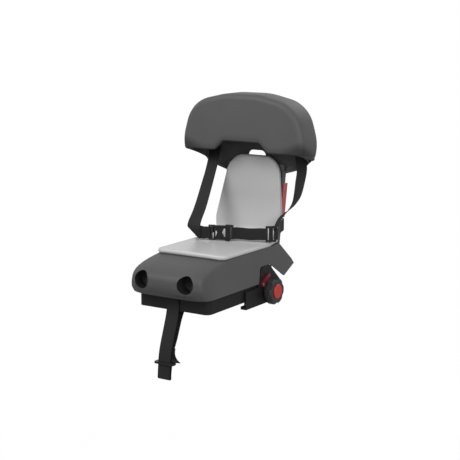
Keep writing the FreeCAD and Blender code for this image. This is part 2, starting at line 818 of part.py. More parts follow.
def lap_straps():
    """Both lap straps from the back panel to the belt's fittings, and the web between buckle and adjuster."""
    half_adjuster = size("adjuster_length") / 2
    start = BELT["fold"] + turned(BUCKLE_TURN) * 10 + turned(BUCKLE_TURN + 90) * (WEB_STEP - 0.5)
    left = [
        start,
        start + Vector(-7, 10, 0),
        start + Vector(-19, 20.5, -0.5),
        start + Vector(-31, 32, -3),
        start + Vector(-36.5, 45, -6.5),
        start + Vector(-38, 70, -14.5),
    ] + lap_anchor(-1, start.z - 20)
    shaped("lap_strap_left", ribbon(left, [Z_AXIS] * len(left), size("web_width")))
    right = level_end("adjuster", ADJUSTER_TURN, half_adjuster) + [
        right_lap_run(),
    ] + lap_anchor(1, BELT["adjuster"].z + 8)
    shaped("lap_strap_right", ribbon(right, [Z_AXIS] * len(right), size("web_width")))
    near = level_end("buckle", BUCKLE_TURN, size("socket_length"))
    far = level_end("adjuster", ADJUSTER_TURN, -half_adjuster)
    web = near + [near[1] * 0.5 + far[1] * 0.5 + Vector(0, -2, -1)] + far[::-1]
    shaped("buckle_web", ribbon(web, [Z_AXIS] * len(web), size("web_width")))


def place_on_belt(body, spot, angle):
    """Stands a belt fitting at its place, turned with the belt."""
    body.Placement = Placement(BELT[spot], Rotation(Z_AXIS, angle))


def buckle_socket():
    """The receiving half of the side-release buckle: a collar with side windows and a bar for its web."""
    body = new_body("BuckleSocket")
    half_w, mouth_x = "Sizes.socket_width / 2", "Sizes.socket_mouth"
    view = sketch_on(body, "SocketView", "XZ_Plane")
    taper = "Sizes.web_width / 2 + 3"
    polygon(view, [
        (mouth_x, f"-{half_w}"), ("Sizes.socket_length - 8", f"-{half_w}"), ("Sizes.socket_length", f"-{taper}"),
        ("Sizes.socket_length", taper), ("Sizes.socket_length - 8", half_w), (mouth_x, half_w),
    ])
    block = pad(body, view, "Sizes.buckle_depth", "SocketBlock", symmetric=True)
    body.Tip = fillet(body, block, "Sizes.buckle_depth * 0.25", along(X_AXIS), "SocketEdges")
    mouth = sketch_on(body, "SocketMouth", "YZ_Plane", mouth_x)
    room_w, room_d = "(Sizes.socket_width / 2 - 3)", "(Sizes.arm_depth / 2 + Sizes.gap)"
    rectangle(mouth, f"-{room_d}", room_d, f"-{room_w}", room_w)
    cut = pocket(body, mouth, "SocketRoom", f"Sizes.arm_length + Sizes.gap - {mouth_x}")
    cut.Reversed = True
    window = sketch_on(body, "SocketWindow", "XY_Plane")
    rectangle(window, f"{mouth_x} + 3", "Sizes.arm_length - 2", f"-{room_d}", room_d)
    pocket(body, window, "SocketWindows")
    slot = sketch_on(body, "SocketSlot", "XZ_Plane")
    half_slot = "(Sizes.web_width / 2 + Sizes.gap)"
    slot_end = "Sizes.socket_length - Sizes.ladder_bar"
    rectangle(slot, f"{slot_end} - Sizes.ladder_slot", slot_end, f"-{half_slot}", half_slot)
    pocket(body, slot, "SocketBarSlot")
    place_on_belt(body, "buckle", BUCKLE_TURN)
    return piece(body, "buckle_socket")


def buckle_plug():
    """The plug half: a ladder frame for its web, a waisted plate with open gaps beside it and two spring arms."""
    body = new_body("BucklePlug")
    half_w = "Sizes.buckle_width / 2"
    left, right = "-Sizes.plug_length - Sizes.gap", "-Sizes.plug_length + Sizes.ladder_length"
    frame = sketch_on(body, "PlugFrame", "XZ_Plane")
    rectangle(frame, left, right, f"-{half_w}", half_w)
    block = pad(body, frame, "Sizes.buckle_depth * 0.7", "PlugBlock", symmetric=True)
    body.Tip = fillet(body, block, "Sizes.buckle_depth * 0.2", along(X_AXIS), "PlugEdges")
    slots = sketch_on(body, "LadderSlots", "XZ_Plane")
    half_slot = "(Sizes.web_width / 2 + Sizes.gap)"
    for start in ("Sizes.ladder_bar", "2 * Sizes.ladder_bar + Sizes.ladder_slot"):
        near = f"{left} + {start}"
        rectangle(slots, near, f"{near} + Sizes.ladder_slot", f"-{half_slot}", half_slot)
    pocket(body, slots, "Ladder")
    plate = sketch_on(body, "WaistedPlate", "XZ_Plane")
    end, corner = "Sizes.socket_mouth - Sizes.gap", "(Sizes.buckle_width / 2 - 1)"
    polygon(plate, [
        (f"{right} - 1", f"-{corner}"), (end, f"-{corner}"), (f"{end} - Sizes.plug_waist", "0"),
        (end, corner), (f"{right} - 1", corner), (f"{right} + Sizes.plug_waist * 0.6", "0"),
    ])
    pad(body, plate, "Sizes.buckle_depth * 0.6", "PlugPlate", symmetric=True)
    arms = sketch_on(body, "ArmsView", "XZ_Plane")
    outer = "(Sizes.socket_width / 2 - 3 - Sizes.gap)"
    inner = f"({outer} - Sizes.arm_width)"
    rectangle(arms, f"{end} - 2", "Sizes.arm_length", inner, outer)
    rectangle(arms, f"{end} - 2", "Sizes.arm_length", f"-{outer}", f"-{inner}")
    pad(body, arms, "Sizes.arm_depth", "Arms", symmetric=True)
    place_on_belt(body, "buckle", BUCKLE_TURN)
    return piece(body, "buckle_plug")


def strap_adjuster():
    """The three-bar adjuster where the right straps meet."""
    body = new_body("StrapAdjuster")
    view = sketch_on(body, "AdjusterView", "XZ_Plane")
    half_l, half_w = "Sizes.adjuster_length / 2", "(Sizes.web_width / 2 + 4)"
    rectangle(view, f"-{half_l}", half_l, f"-{half_w}", half_w)
    block = pad(body, view, "Sizes.adjuster_depth", "AdjusterPlate", symmetric=True)
    body.Tip = fillet(body, block, "Sizes.adjuster_depth * 0.4", along(Z_AXIS), "AdjusterEdges")
    slots = sketch_on(body, "AdjusterSlots", "XZ_Plane")
    half_slot = "(Sizes.web_width / 2 + Sizes.gap)"
    rectangle(slots, f"-{half_l} + 3", f"-{half_l} + 3 + Sizes.ladder_slot", f"-{half_slot}", half_slot)
    rectangle(slots, f"{half_l} - 3 - Sizes.ladder_slot", f"{half_l} - 3", f"-{half_slot}", half_slot)
    pocket(body, slots, "AdjusterBars")
    place_on_belt(body, "adjuster", ADJUSTER_TURN)
    return piece(body, "strap_adjuster")


SLIDER = Vector(-9, TRAY_FRONT - 16, -size("slider_level"))


def safety_strap():
    """The strap that loops over the tray's front wall and hangs below, with its loose end behind the slider."""
    half_ply, thick = size("ply_spread") / 2, size("web_depth")
    bend = thick / 2 + 2 * size("gap")
    notch = size("boss_height") - 1
    over = notch + bend
    ahead = TRAY_FRONT - bend
    slot = TRAY_FRONT + size("strap_slot_setback")
    bottom = -size("safety_drop")
    front, rear = SLIDER.y - half_ply, SLIDER.y + half_ply
    front_ply = [
        Vector(1, slot - 9, over), Vector(1, TRAY_FRONT, over),
        Vector(1, TRAY_FRONT - bend * 0.7, notch + bend * 0.7), Vector(1, ahead, notch),
        Vector(1, ahead - 0.4, 12), Vector(-1, ahead - 4, -20), Vector(-5, front + 5, -60),
        Vector(SLIDER.x, front, SLIDER.z + 4), Vector(SLIDER.x, front, SLIDER.z - 4),
        Vector(SLIDER.x - 2, front, bottom + 4),
    ]
    rear_ply = [
        Vector(SLIDER.x - 2, front + 1, bottom + 1), Vector(SLIDER.x - 2, rear - 1, bottom + 1),
        Vector(SLIDER.x - 2, rear, bottom + 4), Vector(SLIDER.x, rear, SLIDER.z - 4),
        Vector(SLIDER.x, rear, SLIDER.z + 4), Vector(-5, rear + 12, -60),
        Vector(-1, slot - 4, -9), Vector(1, slot, 2),
        Vector(1, slot, over - 4), Vector(1, slot - 3, over), Vector(1, slot - 8, over),
    ]
    route = front_ply + rear_ply
    band = ribbon(route, [X_AXIS] * len(route), size("safety_width"), smooth=False)
    start = Vector(SLIDER.x, rear + thick + 2 * size("gap"), SLIDER.z + 4)
    steps = [Vector(), Vector(1, 3, 10), Vector(3, 10, 11), Vector(6, 17, 2), Vector(8, 20, -8)]
    end = ribbon([start + step for step in steps], [X_AXIS] * len(steps), size("safety_width"))
    return shaped("safety_strap", Part.makeCompound([band, end]))


def strap_slider():
    """The flat slider that gathers both plies of the safety strap."""
    body = new_body("StrapSlider")
    plan = sketch_on(body, "SliderPlan", "XY_Plane")
    half_w, half_l = "Sizes.slider_width / 2", "Sizes.slider_length / 2"
    rectangle(plan, f"-{half_w}", half_w, f"-{half_l}", half_l)
    block = pad(body, plan, "Sizes.slider_depth", "SliderPlate", symmetric=True)
    body.Tip = fillet(body, block, "Sizes.slider_depth", along(Z_AXIS), "SliderCorners")
    slots = sketch_on(body, "SliderSlots", "XY_Plane")
    half_slot = "(Sizes.safety_width / 2 + 1)"
    for side in ("-", ""):
        middle = f"{side}Sizes.ply_spread / 2"
        half_t = "(Sizes.web_depth / 2 + Sizes.gap)"
        rectangle(slots, f"-{half_slot}", half_slot, f"{middle} - {half_t}", f"{middle} + {half_t}")
    pocket(body, slots, "SliderBars")
    body.Placement = Placement(SLIDER, Rotation())
    return piece(body, "strap_slider")


def clamp_jaw(label, side):
    """One jaw: a plate with an arched crest, a hooked foot that grips the rail and two guide tongues.

    The right jaw's features lie at minus X, so each feature starts at its outer or inner face.
    """
    body = new_body(label.title().replace("_", ""))
    face = "(Sizes.tray_width / 2 + Sizes.gap)"
    start = face if side > 0 else f"-{face} - Sizes.jaw_depth"
    axis_y, axis_z = "Sizes.spindle_setback", "Sizes.spindle_level"
    shoulder, foot = "Sizes.jaw_shoulder", "-Sizes.rail_diameter - Sizes.foot_depth"
    front, rear = f"{axis_y} - Sizes.jaw_front", f"{axis_y} + Sizes.jaw_rear"
    crest = "Sizes.arch_height - 3.5"
    arch_start = f"{axis_y} - Sizes.arch_front"
    arch_flat = f"{arch_start} + Sizes.arch_slant"
    plate = sketch_on(body, "JawSide", "YZ_Plane", start)
    polygon(plate, [
        (front, foot), (rear, foot), (rear, f"{shoulder} + 4"),
        (f"{arch_flat} + Sizes.arch_flat - 4", crest), (f"{arch_flat} + 5", crest),
        (f"{arch_start} + 5", f"{shoulder} + 4"), (f"{arch_start} + 3", shoulder), (front, shoulder),
    ])
    plate_pad = pad(body, plate, "Sizes.jaw_depth", "JawPlate")
    body.Tip = fillet(body, plate_pad, "6", crest_edge, "JawCrest")
    grip = sketch_on(body, "FootView", "XZ_Plane", f"-({front})")
    rail_in = f"(Sizes.tray_width / 2 + Sizes.gap - Sizes.rail_diameter / 2 - Sizes.foot_grip)"
    outer = f"({face} + Sizes.jaw_depth / 2)"
    ends = (rail_in, outer) if side > 0 else (f"-{outer}", f"-{rail_in}")
    rectangle(grip, ends[0], ends[1], foot, "-Sizes.rail_diameter / 2")
    foot_pad = pad(body, grip, "Sizes.jaw_front + Sizes.jaw_rear", "JawFoot")
    foot_pad.Reversed = True
    rail = sketch_on(body, "RailView", "XZ_Plane")
    rail_x = "(Sizes.tray_width / 2 + Sizes.gap - Sizes.rail_diameter / 2)"
    circle(rail, rail_x if side > 0 else f"-{rail_x}", "-Sizes.rail_diameter / 2", "Sizes.rail_diameter / 2")
    pocket(body, rail, "RailGroove")
    tongues = sketch_on(body, "TongueView", "YZ_Plane", face if side > 0 else f"-{face}")
    for place in (f"{axis_y} - Sizes.tongue_front", f"{axis_y} + Sizes.tongue_rear"):
        rectangle(tongues, f"{place} - Sizes.tongue_width / 2", f"{place} + Sizes.tongue_width / 2",
                  f"{axis_z} - Sizes.tongue_height / 2", f"{axis_z} + Sizes.tongue_height / 2")
    tongue_pad = pad(body, tongues, "Sizes.tongue_reach", "JawTongues")
    tongue_pad.Reversed = side > 0
    bore = sketch_on(body, "JawBore", "YZ_Plane")
    circle(bore, axis_y, axis_z, "Sizes.spindle_diameter / 2 + Sizes.gap")
    if side > 0:
        pin_y, pin_z = f"{axis_y} - Sizes.catch_pin_ahead", f"{axis_z} + Sizes.catch_pin_above"
        circle(bore, pin_y, pin_z, "Sizes.catch_pin_radius")
    pocket(body, bore, "JawHoles")
    return piece(body, label)


def crest_edge(edge):
    """The two edges across the jaw's arched crest."""
    return along(X_AXIS)(edge) and edge.CenterOfMass.z > size("arch_height") - 5


def on_spindle(obj, place_x):
    """Stands a piece that was made about its own X axis on the spindle's axis."""
    obj.setExpression("Placement.Base.x", place_x)
    obj.setExpression("Placement.Base.y", "Sizes.spindle_setback")
    obj.setExpression("Placement.Base.z", "Sizes.spindle_level")
    return obj


def round_bar(name, radius, length):
    """A cylinder that lies along X, sized by expressions."""
    bar = doc.addObject("Part::Cylinder", name)
    bar.setExpression("Radius", radius)
    bar.setExpression("Height", length)
    bar.Placement = Placement(Vector(), Rotation(Y_AXIS, 90))
    return bar


def ring(label, outer, inner, length, place_x):
    """A washer or sleeve about the spindle."""
    cut = doc.addObject("Part::Cut", label)
    cut.Base = round_bar(f"{label}_outer", outer, length)
    cut.Tool = round_bar(f"{label}_bore", inner, length)
    return on_spindle(piece(cut, label), place_x)


JAW_OUTER = "(Sizes.tray_width / 2 + Sizes.gap + Sizes.jaw_depth)"
KNOB_START = f"({JAW_OUTER} + Sizes.washer_depth + Sizes.gap)"
KNOB_TOTAL = "(Sizes.knob_flange_depth + Sizes.knob_depth)"
BORE_RADIUS = "Sizes.spindle_diameter / 2 + Sizes.running_play"


def clamp_spindle():
    """The threaded spindle that draws the jaws together, from the nut to inside the knob."""
    length = f"2 * {KNOB_START} + {KNOB_TOTAL} - 3 + Sizes.nut_depth - 2"
    spindle = piece(round_bar("clamp_spindle", "Sizes.spindle_diameter / 2", length), "clamp_spindle")
    return on_spindle(spindle, f"-{KNOB_START} - Sizes.nut_depth + 2")


def spindle_nut():
    """The hexagon nut on the fixed jaw's end of the spindle."""
    hexagon = doc.addObject("Part::Prism", "nut_hexagon")
    hexagon.Polygon = 6
    hexagon.setExpression("Circumradius", "Sizes.nut_radius")
    hexagon.setExpression("Height", "Sizes.nut_depth")
    hexagon.Placement = Placement(Vector(), Rotation(Y_AXIS, 90))
    nut = doc.addObject("Part::Cut", "spindle_nut")
    nut.Base = hexagon
    nut.Tool = round_bar("nut_bore", "Sizes.spindle_diameter / 2", "Sizes.nut_depth")
    return on_spindle(piece(nut, "spindle_nut"), f"-{JAW_OUTER} - Sizes.washer_depth - Sizes.nut_depth")


def clamp_knob():
    """The lobed knob: a round flange, a grip with scallops round it and a bore for the insert."""
    body = new_body("ClampKnob")
    flange = sketch_on(body, "FlangeView", "YZ_Plane")
    circle(flange, "0", "0", "Sizes.knob_flange_radius")
    pad(body, flange, "Sizes.knob_flange_depth + 1", "KnobFlange")
    grip = sketch_on(body, "GripView", "YZ_Plane", "Sizes.knob_flange_depth")
    circle(grip, "0", "0", "Sizes.knob_radius")
    grip_pad = pad(body, grip, "Sizes.knob_depth", "KnobGrip")
    body.Tip = chamfer(body, grip_pad, "Sizes.knob_bevel", knob_rim, "KnobRim")
    scallop = sketch_on(body, "ScallopView", "YZ_Plane", "Sizes.knob_flange_depth")
    circle(scallop, "0", "-Sizes.knob_radius - Sizes.scallop_radius + Sizes.scallop_cut", "Sizes.scallop_radius")
    cut = pocket(body, scallop, "Scallop", "Sizes.knob_depth + 1")
    cut.Reversed = True
    pattern = body.newObject("PartDesign::PolarPattern", "Scallops")
    pattern.Originals = [cut]
    pattern.Axis = ([item for item in body.Origin.OriginFeatures if item.Role == "X_Axis"][0], [""])
    pattern.Angle = 360
    pattern.setExpression("Occurrences", "Sizes.knob_lobes")
    body.Tip = pattern
    bore = sketch_on(body, "InsertBore", "YZ_Plane")
    circle(bore, "0", "0", "Sizes.insert_radius")
    hole = pocket(body, bore, "InsertRoom", f"{KNOB_TOTAL} - 2")
    hole.Reversed = True
    return on_spindle(piece(body, "clamp_knob"), KNOB_START)


def knob_rim(edge):
    """The round edge of the knob's outer face."""
    end = size("knob_flange_depth") + size("knob_depth")
    return abs(edge.CenterOfMass.x - end) < 0.01


def knob_cap():
    """The red cap on the knob's outer face."""
    cap = round_bar("cap_disc", "Sizes.cap_radius", "Sizes.cap_depth")
    doc.recompute()
    edge = [i for i, e in enumerate(cap.Shape.Edges, start=1) if e.CenterOfMass.x > size("cap_depth") * 0.9]
    bevelled = doc.addObject("Part::Chamfer", "knob_cap")
    bevelled.Base = cap
    bevelled.Edges = [(number, size("cap_depth") * 0.5, size("cap_depth") * 0.5) for number in edge]
    return on_spindle(piece(bevelled, "knob_cap"), f"{KNOB_START} + {KNOB_TOTAL}")


def safety_catch():
    """The red catch over the knob's flange: a bar with a round eye on its pin, rising to the rear."""
    body = new_body("SafetyCatch")
    view = sketch_on(body, "CatchView", "YZ_Plane")
    half = "Sizes.catch_width / 2"
    tip = "Sizes.catch_length"
    polygon(view, [("0", f"-{half}"), (f"{tip} - 4", f"-{half} + 2"), (tip, "0"), (f"{tip} - 3", half), ("0", half)])
    pad(body, view, "Sizes.catch_depth", "CatchBar")
    eye = sketch_on(body, "EyeView", "YZ_Plane")
    circle(eye, "0", "0", half)
    pad(body, eye, "Sizes.catch_depth", "CatchEye")
    bore = sketch_on(body, "CatchBore", "YZ_Plane")
    circle(bore, "0", "0", "Sizes.catch_pin_radius + Sizes.running_play")
    pocket(body, bore, "CatchHole")
    piece(body, "safety_catch")
    body.Placement = Placement(Vector(), Rotation(X_AXIS, size("catch_slope")))
    place_on_pin(body, f"{JAW_OUTER} + Sizes.gap")
    return body


def place_on_pin(obj, place_x):
    """Stands a piece on the catch's pin."""
    obj.setExpression("Placement.Base.x", place_x)
    obj.setExpression("Placement.Base.y", "Sizes.spindle_setback - Sizes.catch_pin_ahead")
    obj.setExpression("Placement.Base.z", "Sizes.spindle_level + Sizes.catch_pin_above")


def catch_pin():
    """The pin pressed into the jaw that carries the catch."""
    pin = piece(round_bar("catch_pin", "Sizes.catch_pin_radius",
                          "Sizes.jaw_depth + Sizes.catch_depth + 2 * Sizes.gap"), "catch_pin")
    place_on_pin(pin, "Sizes.tray_width / 2 + Sizes.gap")
    return pin


def tray_screws():
    """The four screws that go up through the tray into the shell's bosses."""
    solids = []
    for place in boss_places():
        low = place + Z_AXIS * (size("gap") / 2)
        length = size("boss_height") + size("screw_length") - 2
        shank = Part.makeCylinder(size("screw_radius"), length, low)
        head = Part.makeCylinder(size("screw_head_radius"), size("screw_head_depth"), low)
        solids.append(head.fuse(shank).removeSplitter())
    return shaped("tray_screws", Part.makeCompound(solids))


seat_shell()
mounting_tray()
back_shell()
rear_reflector()
cushion()
shoulder_strap_left()
shoulder_strap_right()
lap_straps()
buckle_socket()
buckle_plug()
strap_adjuster()
safety_strap()
strap_slider()
clamp_jaw("sliding_jaw", 1)
clamp_jaw("fixed_jaw", -1)
clamp_spindle()
ring("spindle_washer", "Sizes.washer_radius", "Sizes.spindle_diameter / 2 + Sizes.running_play",
     "Sizes.washer_depth", f"-{JAW_OUTER} - Sizes.washer_depth")
spindle_nut()
ring("thrust_washer", "Sizes.washer_radius", "Sizes.spindle_diameter / 2 + Sizes.gap", "Sizes.washer_depth", JAW_OUTER)
clamp_knob()
ring("knob_insert", "Sizes.insert_radius", BORE_RADIUS, f"{KNOB_TOTAL} - 2", KNOB_START)
knob_cap()
safety_catch()
catch_pin()
tray_screws()
doc.recompute()

broken = [obj.Name for obj in doc.Objects if {"Invalid", "Error"} & set(obj.State)]
broken += [obj.Label for obj in PIECES if obj.Shape.isNull() or not obj.Shape.isValid()]
if broken:
    raise RuntimeError("failed pieces: " + ", ".join(broken))

os.makedirs("parts", exist_ok=True)
for obj in PIECES:
    obj.Shape.exportStep(f"parts/{obj.Label}.step")
    print(obj.Label, len(obj.Shape.Solids), round(obj.Shape.Volume / 1000, 2), "cm3")
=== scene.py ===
"""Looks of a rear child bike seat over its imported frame: webbing, cushion, finishes, light and camera.

Pieces are shaped in millimetres. Finishes, lamps and the camera are in metres.
"""

import json

import bpy
import numpy as np
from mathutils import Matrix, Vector


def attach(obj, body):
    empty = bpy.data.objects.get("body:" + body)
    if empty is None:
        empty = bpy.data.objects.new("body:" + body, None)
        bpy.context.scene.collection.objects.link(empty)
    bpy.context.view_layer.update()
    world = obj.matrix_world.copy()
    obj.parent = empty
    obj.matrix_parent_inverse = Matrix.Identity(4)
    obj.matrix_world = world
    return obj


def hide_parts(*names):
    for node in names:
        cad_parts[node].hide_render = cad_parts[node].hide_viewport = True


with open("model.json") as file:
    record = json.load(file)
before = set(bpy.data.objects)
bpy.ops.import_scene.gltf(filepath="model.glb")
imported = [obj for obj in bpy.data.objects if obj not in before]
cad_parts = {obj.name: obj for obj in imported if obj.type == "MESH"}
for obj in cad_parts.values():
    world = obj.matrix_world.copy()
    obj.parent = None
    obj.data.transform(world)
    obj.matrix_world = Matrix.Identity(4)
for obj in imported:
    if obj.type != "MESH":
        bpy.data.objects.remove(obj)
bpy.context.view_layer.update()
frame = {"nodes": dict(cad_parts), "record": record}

MM = 0.001
X_AXIS, _, Z_AXIS = np.eye(3)

WEB_WIDTH = 25
WEB_DEPTH = 1.6
WEB_STEP = 1.5
SHOULDER_WIDTH = 27
CARRIER_WIDTH = 29.4
SHEAR_FADE = 30
FOLD = np.array([-62.0, 33.0, 125.5])
FOLD_RADIUS = 1.15
FOLD_STEP = 0.4
BUCKLE = np.array([-13.0, 54.0, 126.5])
BUCKLE_TURN = np.radians(23)
ADJUSTER = np.array([87.0, 97.4, 126.5])
ADJUSTER_TURN = np.radians(40)

RIM_STEP = 2.0
LIP_RADIUS = 4.5
SKIRT_WIDTH = 18
SKIRT_DEPTH = 2.4

PANEL_FOOT = (149, 98)
PANEL_LEAN = 0.165
PANEL_AIR = 0.3
PAD_LOW = 98.3
PAD_DEPTH = 10.5
PAD_TOP = 279.0
PAD_FRONT = -77.0
PAD_NOSE = 18.0
PAD_CROWN = 35.0
PAD_BEND = 30.0
PAD_EDGE = 5.0
PAD_END = 0.15
PAD_LUMBAR = 6.0

WELD = 2e-6
CREASE = np.radians(32)


class Value:
    """An output socket in a node tree. Arithmetic on it adds Math nodes to the same tree."""

    def __init__(self, nodes, socket):
        self.nodes = nodes
        self.socket = socket

    def maths(self, operation, *inputs):
        return self.nodes.node("ShaderNodeMath", {"operation": operation}, dict(enumerate(inputs)))

    def __add__(self, other):
        return self.maths("ADD", self, other)

    def __sub__(self, other):
        return self.maths("SUBTRACT", self, other)

    def __rsub__(self, other):
        return self.maths("SUBTRACT", other, self)

    def __mul__(self, other):
        return self.maths("MULTIPLY", self, other)

    def __abs__(self):
        return self.maths("ABSOLUTE", self)

    __radd__ = __add__
    __rmul__ = __mul__

    def sine(self):
        return self.maths("SINE", self)

    def wrapped(self, period):
        return self.maths("FLOORED_MODULO", self, period)

    def greater(self, other):
        return self.maths("MAXIMUM", self, other)

    def clamped(self):
        return self.nodes.node("ShaderNodeClamp", {}, {0: self})

    def ramp(self, start, end):
        """0 at the start and 1 at the end, even between and held beyond. Either may be the smaller."""
        sockets = {"Value": self, "From Min": start, "From Max": end}
        return self.nodes.node("ShaderNodeMapRange", {}, sockets)


class Nodes:
    """A node tree, to which one method adds any kind of node."""

    def __init__(self, tree):
        self.tree = tree

    def node(self, kind, settings, sockets, out=0):
        """Adds a node: first its settings, then the values or links of its sockets."""
        made = self.tree.nodes.new(kind)
        for key, value in settings.items():
            setattr(made, key, value)
        for key, value in sockets.items():
            self.feed(made.inputs[key], value)
        return Value(self, made.outputs[out]) if made.outputs else None

    def feed(self, socket, value):
        """Links a value to a socket, or sets a constant on it."""
        if isinstance(value, Value):
            self.tree.links.new(value.socket, socket)
        else:
            socket.default_value = value


class Finish(Nodes):
    """A node material with one shader, whose colour, roughness and relief are fed by its other nodes."""

    def __init__(self, name):
        self.material = bpy.data.materials.new(name)
        self.material.use_nodes = True
        super().__init__(self.material.node_tree)
        self.shader = self.tree.nodes["Principled BSDF"]

    def set(self, **sockets):
        """Feeds the shader's own sockets, named with underscores for spaces."""
        for key, value in sockets.items():
            self.feed(self.shader.inputs[key.replace("_", " ")], value)
        return self.material

    def place(self):
        """Object coordinates, in metres."""
        return self.node("ShaderNodeTexCoord", {}, {}, "Object")

    def facing(self):
        """The surface's own normal."""
        return self.node("ShaderNodeNewGeometry", {}, {}, "Normal")

    def noise(self, where, scale, detail):
        """Soft cloudy values around one half."""
        return self.node("ShaderNodeTexNoise", {}, {"Vector": where, "Scale": scale, "Detail": detail})

    def cells(self, where, scale, feature="F1", randomness=1.0):
        """Distances to scattered cell centres."""
        sockets = {"Vector": where, "Scale": scale, "Randomness": randomness}
        return self.node("ShaderNodeTexVoronoi", {"feature": feature}, sockets)

    def stretched(self, where, factors):
        """Coordinates scaled along each axis, which draws a pattern out."""
        return self.node("ShaderNodeVectorMath", {"operation": "MULTIPLY"}, {0: where, 1: factors})

    def parts(self, where):
        """The three parts of a vector."""
        split = self.node("ShaderNodeSeparateXYZ", {}, {0: where})
        return [Value(self, output) for output in split.socket.node.outputs]

    def mix(self, share, first, second):
        """A colour between two others."""
        sockets = {"Factor": share, 6: first, 7: second}
        return self.node("ShaderNodeMix", {"data_type": "RGBA"}, sockets, 2)

    def soft_edges(self, radius):
        """The surface's normal, rounded over by a small radius along its edges."""
        return self.node("ShaderNodeBevel", {"samples": 6}, {"Radius": radius})

    def edge_share(self, rounded):
        """How far the rounded normal leans from the true one: 0 on open faces, more along edges."""
        sockets = {0: rounded, 1: self.facing()}
        lean = self.node("ShaderNodeVectorMath", {"operation": "DOT_PRODUCT"}, sockets, "Value")
        return ((1.0 - lean) * 4.0).clamped()

    def relief(self, height, distance, strength, normal=None):
        """A normal bent by a height."""
        sockets = {"Height": height, "Distance": distance, "Strength": strength}
        if normal is not None:
            sockets["Normal"] = normal
        return self.node("ShaderNodeBump", {}, sockets)


def tone(colour, factor):
    """A colour made lighter or darker, as four numbers."""
    return tuple(min(part * factor, 1.0) for part in colour) + (1.0,)


def moulded(name, colour, rough, grain=900.0, depth=0.35, edge=0.0011, shine=0.42, shell_shade=False):
    """Moulded plastic: leathery spark-eroded grain, cloudy tone, drawn-out scuffs and paler rubbed edges.

    Grain counts cells in a metre, depth is the relief's strength and edge is the rounding of edges.
    The last argument adds painted shade, and painted light in the nose's pockets, to the grey shell
    mouldings.
    """
    finish = Finish(name)
    where = finish.place()
    pits = finish.cells(where, grain, "SMOOTH_F1")
    fine = finish.noise(where, grain * 2.3, 2.0)
    cloud = finish.noise(where, 14.0, 4.0)
    scuffs = finish.noise(finish.stretched(where, (9.0, 70.0, 150.0)), 2.2, 5.0)
    rubbed = scuffs.ramp(0.6, 0.743)
    rounded = finish.soft_edges(edge)
    worn = finish.edge_share(rounded) * (0.35 + 0.65 * cloud)
    base = finish.mix(cloud, tone(colour, 0.9), tone(colour, 1.1))
    base = finish.mix(rubbed * 0.18, base, tone(colour, 1.55))
    base = finish.mix(worn * 0.35, base, tone(colour, 1.9))
    # Painted shade and painted light on the grey shell mouldings.
    if shell_shade:
        base = painted_shade(finish, where, base, colour)
    roughness = rough + 0.1 * (fine - 0.5) - 0.12 * rubbed + 0.08 * (cloud - 0.5)
    normal = finish.relief(pits * 0.7 + fine * 0.3, 0.00012, depth, rounded)
    return finish.set(Base_Color=base, Roughness=roughness, Normal=normal, Specular_IOR_Level=shine)


def painted_shade(finish, where, base, colour):
    """Painted shade on the grey shell mouldings: headrest's lower band, headrest's interior, nose and
    nose's pockets.

    The band lies below a line that rises over the arch and at both ends and falls towards the back, and
    fades out over 16 mm above it; it is painted shade where the edge rolls under. The interior's painted
    shade is where faces look down, forwards or inwards. A pocket's painted shade is where the squared
    distance from its axis is less than its squared radius, and the lower half of its floor is painted
    paler as painted light.
    """
    lower_edge, arch_rise, band = 0.289, 0.02, 0.016
    pocket_aside, pocket_level, pocket_mouth = 0.0525, 0.062, -0.136
    pocket_wall, pocket_floor, pocket_fade = 0.000318, 0.00025, 0.0000025
    x, y, z = finish.parts(where)
    sideways, ahead, up = finish.parts(finish.facing())
    ends = abs(x).ramp(0.095, 0.1426)
    line = lower_edge + arch_rise * abs(x).ramp(0.069, 0.0455) + ends * (0.074 - 0.5 * y)
    skin = y.ramp(0.1, 0.101) * y.ramp(0.178, 0.168) * z.ramp(0.28, 0.281)
    rim_shade = z.ramp(line + band, line - 0.0007) * skin
    inner = ahead.ramp(-0.25, -0.375) * y.ramp(0.15, 0.151)
    inward = (x * sideways).ramp(-0.05, -0.075) + up.ramp(-0.25, -0.375)
    under = inward.clamped() * y.ramp(0.119, 0.12)
    hollow_shade = (inner + under).clamped() * z.ramp(0.235, 0.236)
    aside, above = abs(x) - pocket_aside, z - pocket_level
    off_axis = aside * aside + above * above
    sunk = y.ramp(pocket_mouth, pocket_mouth - 0.00025)
    pocket_shade = off_axis.ramp(pocket_wall, pocket_wall - pocket_fade) * sunk
    pocket_light = off_axis.ramp(pocket_floor, pocket_floor - pocket_fade) * above.ramp(0.003, -0.007)
    # Painted shade along the headrest's lower edge, where it rolls under, heavier at its ends.
    base = finish.mix(rim_shade * (0.75 + 0.2 * ends), base, tone(colour, 0.3))
    # Painted shade on the headrest's interior and its downward faces.
    base = finish.mix(hollow_shade, base, tone(colour, 0.7))
    # Painted shade on the nose, darker towards its front end.
    base = finish.mix(y.ramp(-0.1, -0.1714) * 0.3, base, tone(colour, 0.5))
    # Painted shade in the nose's pockets, with painted light on the lower half of each floor.
    return finish.mix(pocket_shade * (1.0 - 0.6 * pocket_light), base, tone(colour, 0.16))


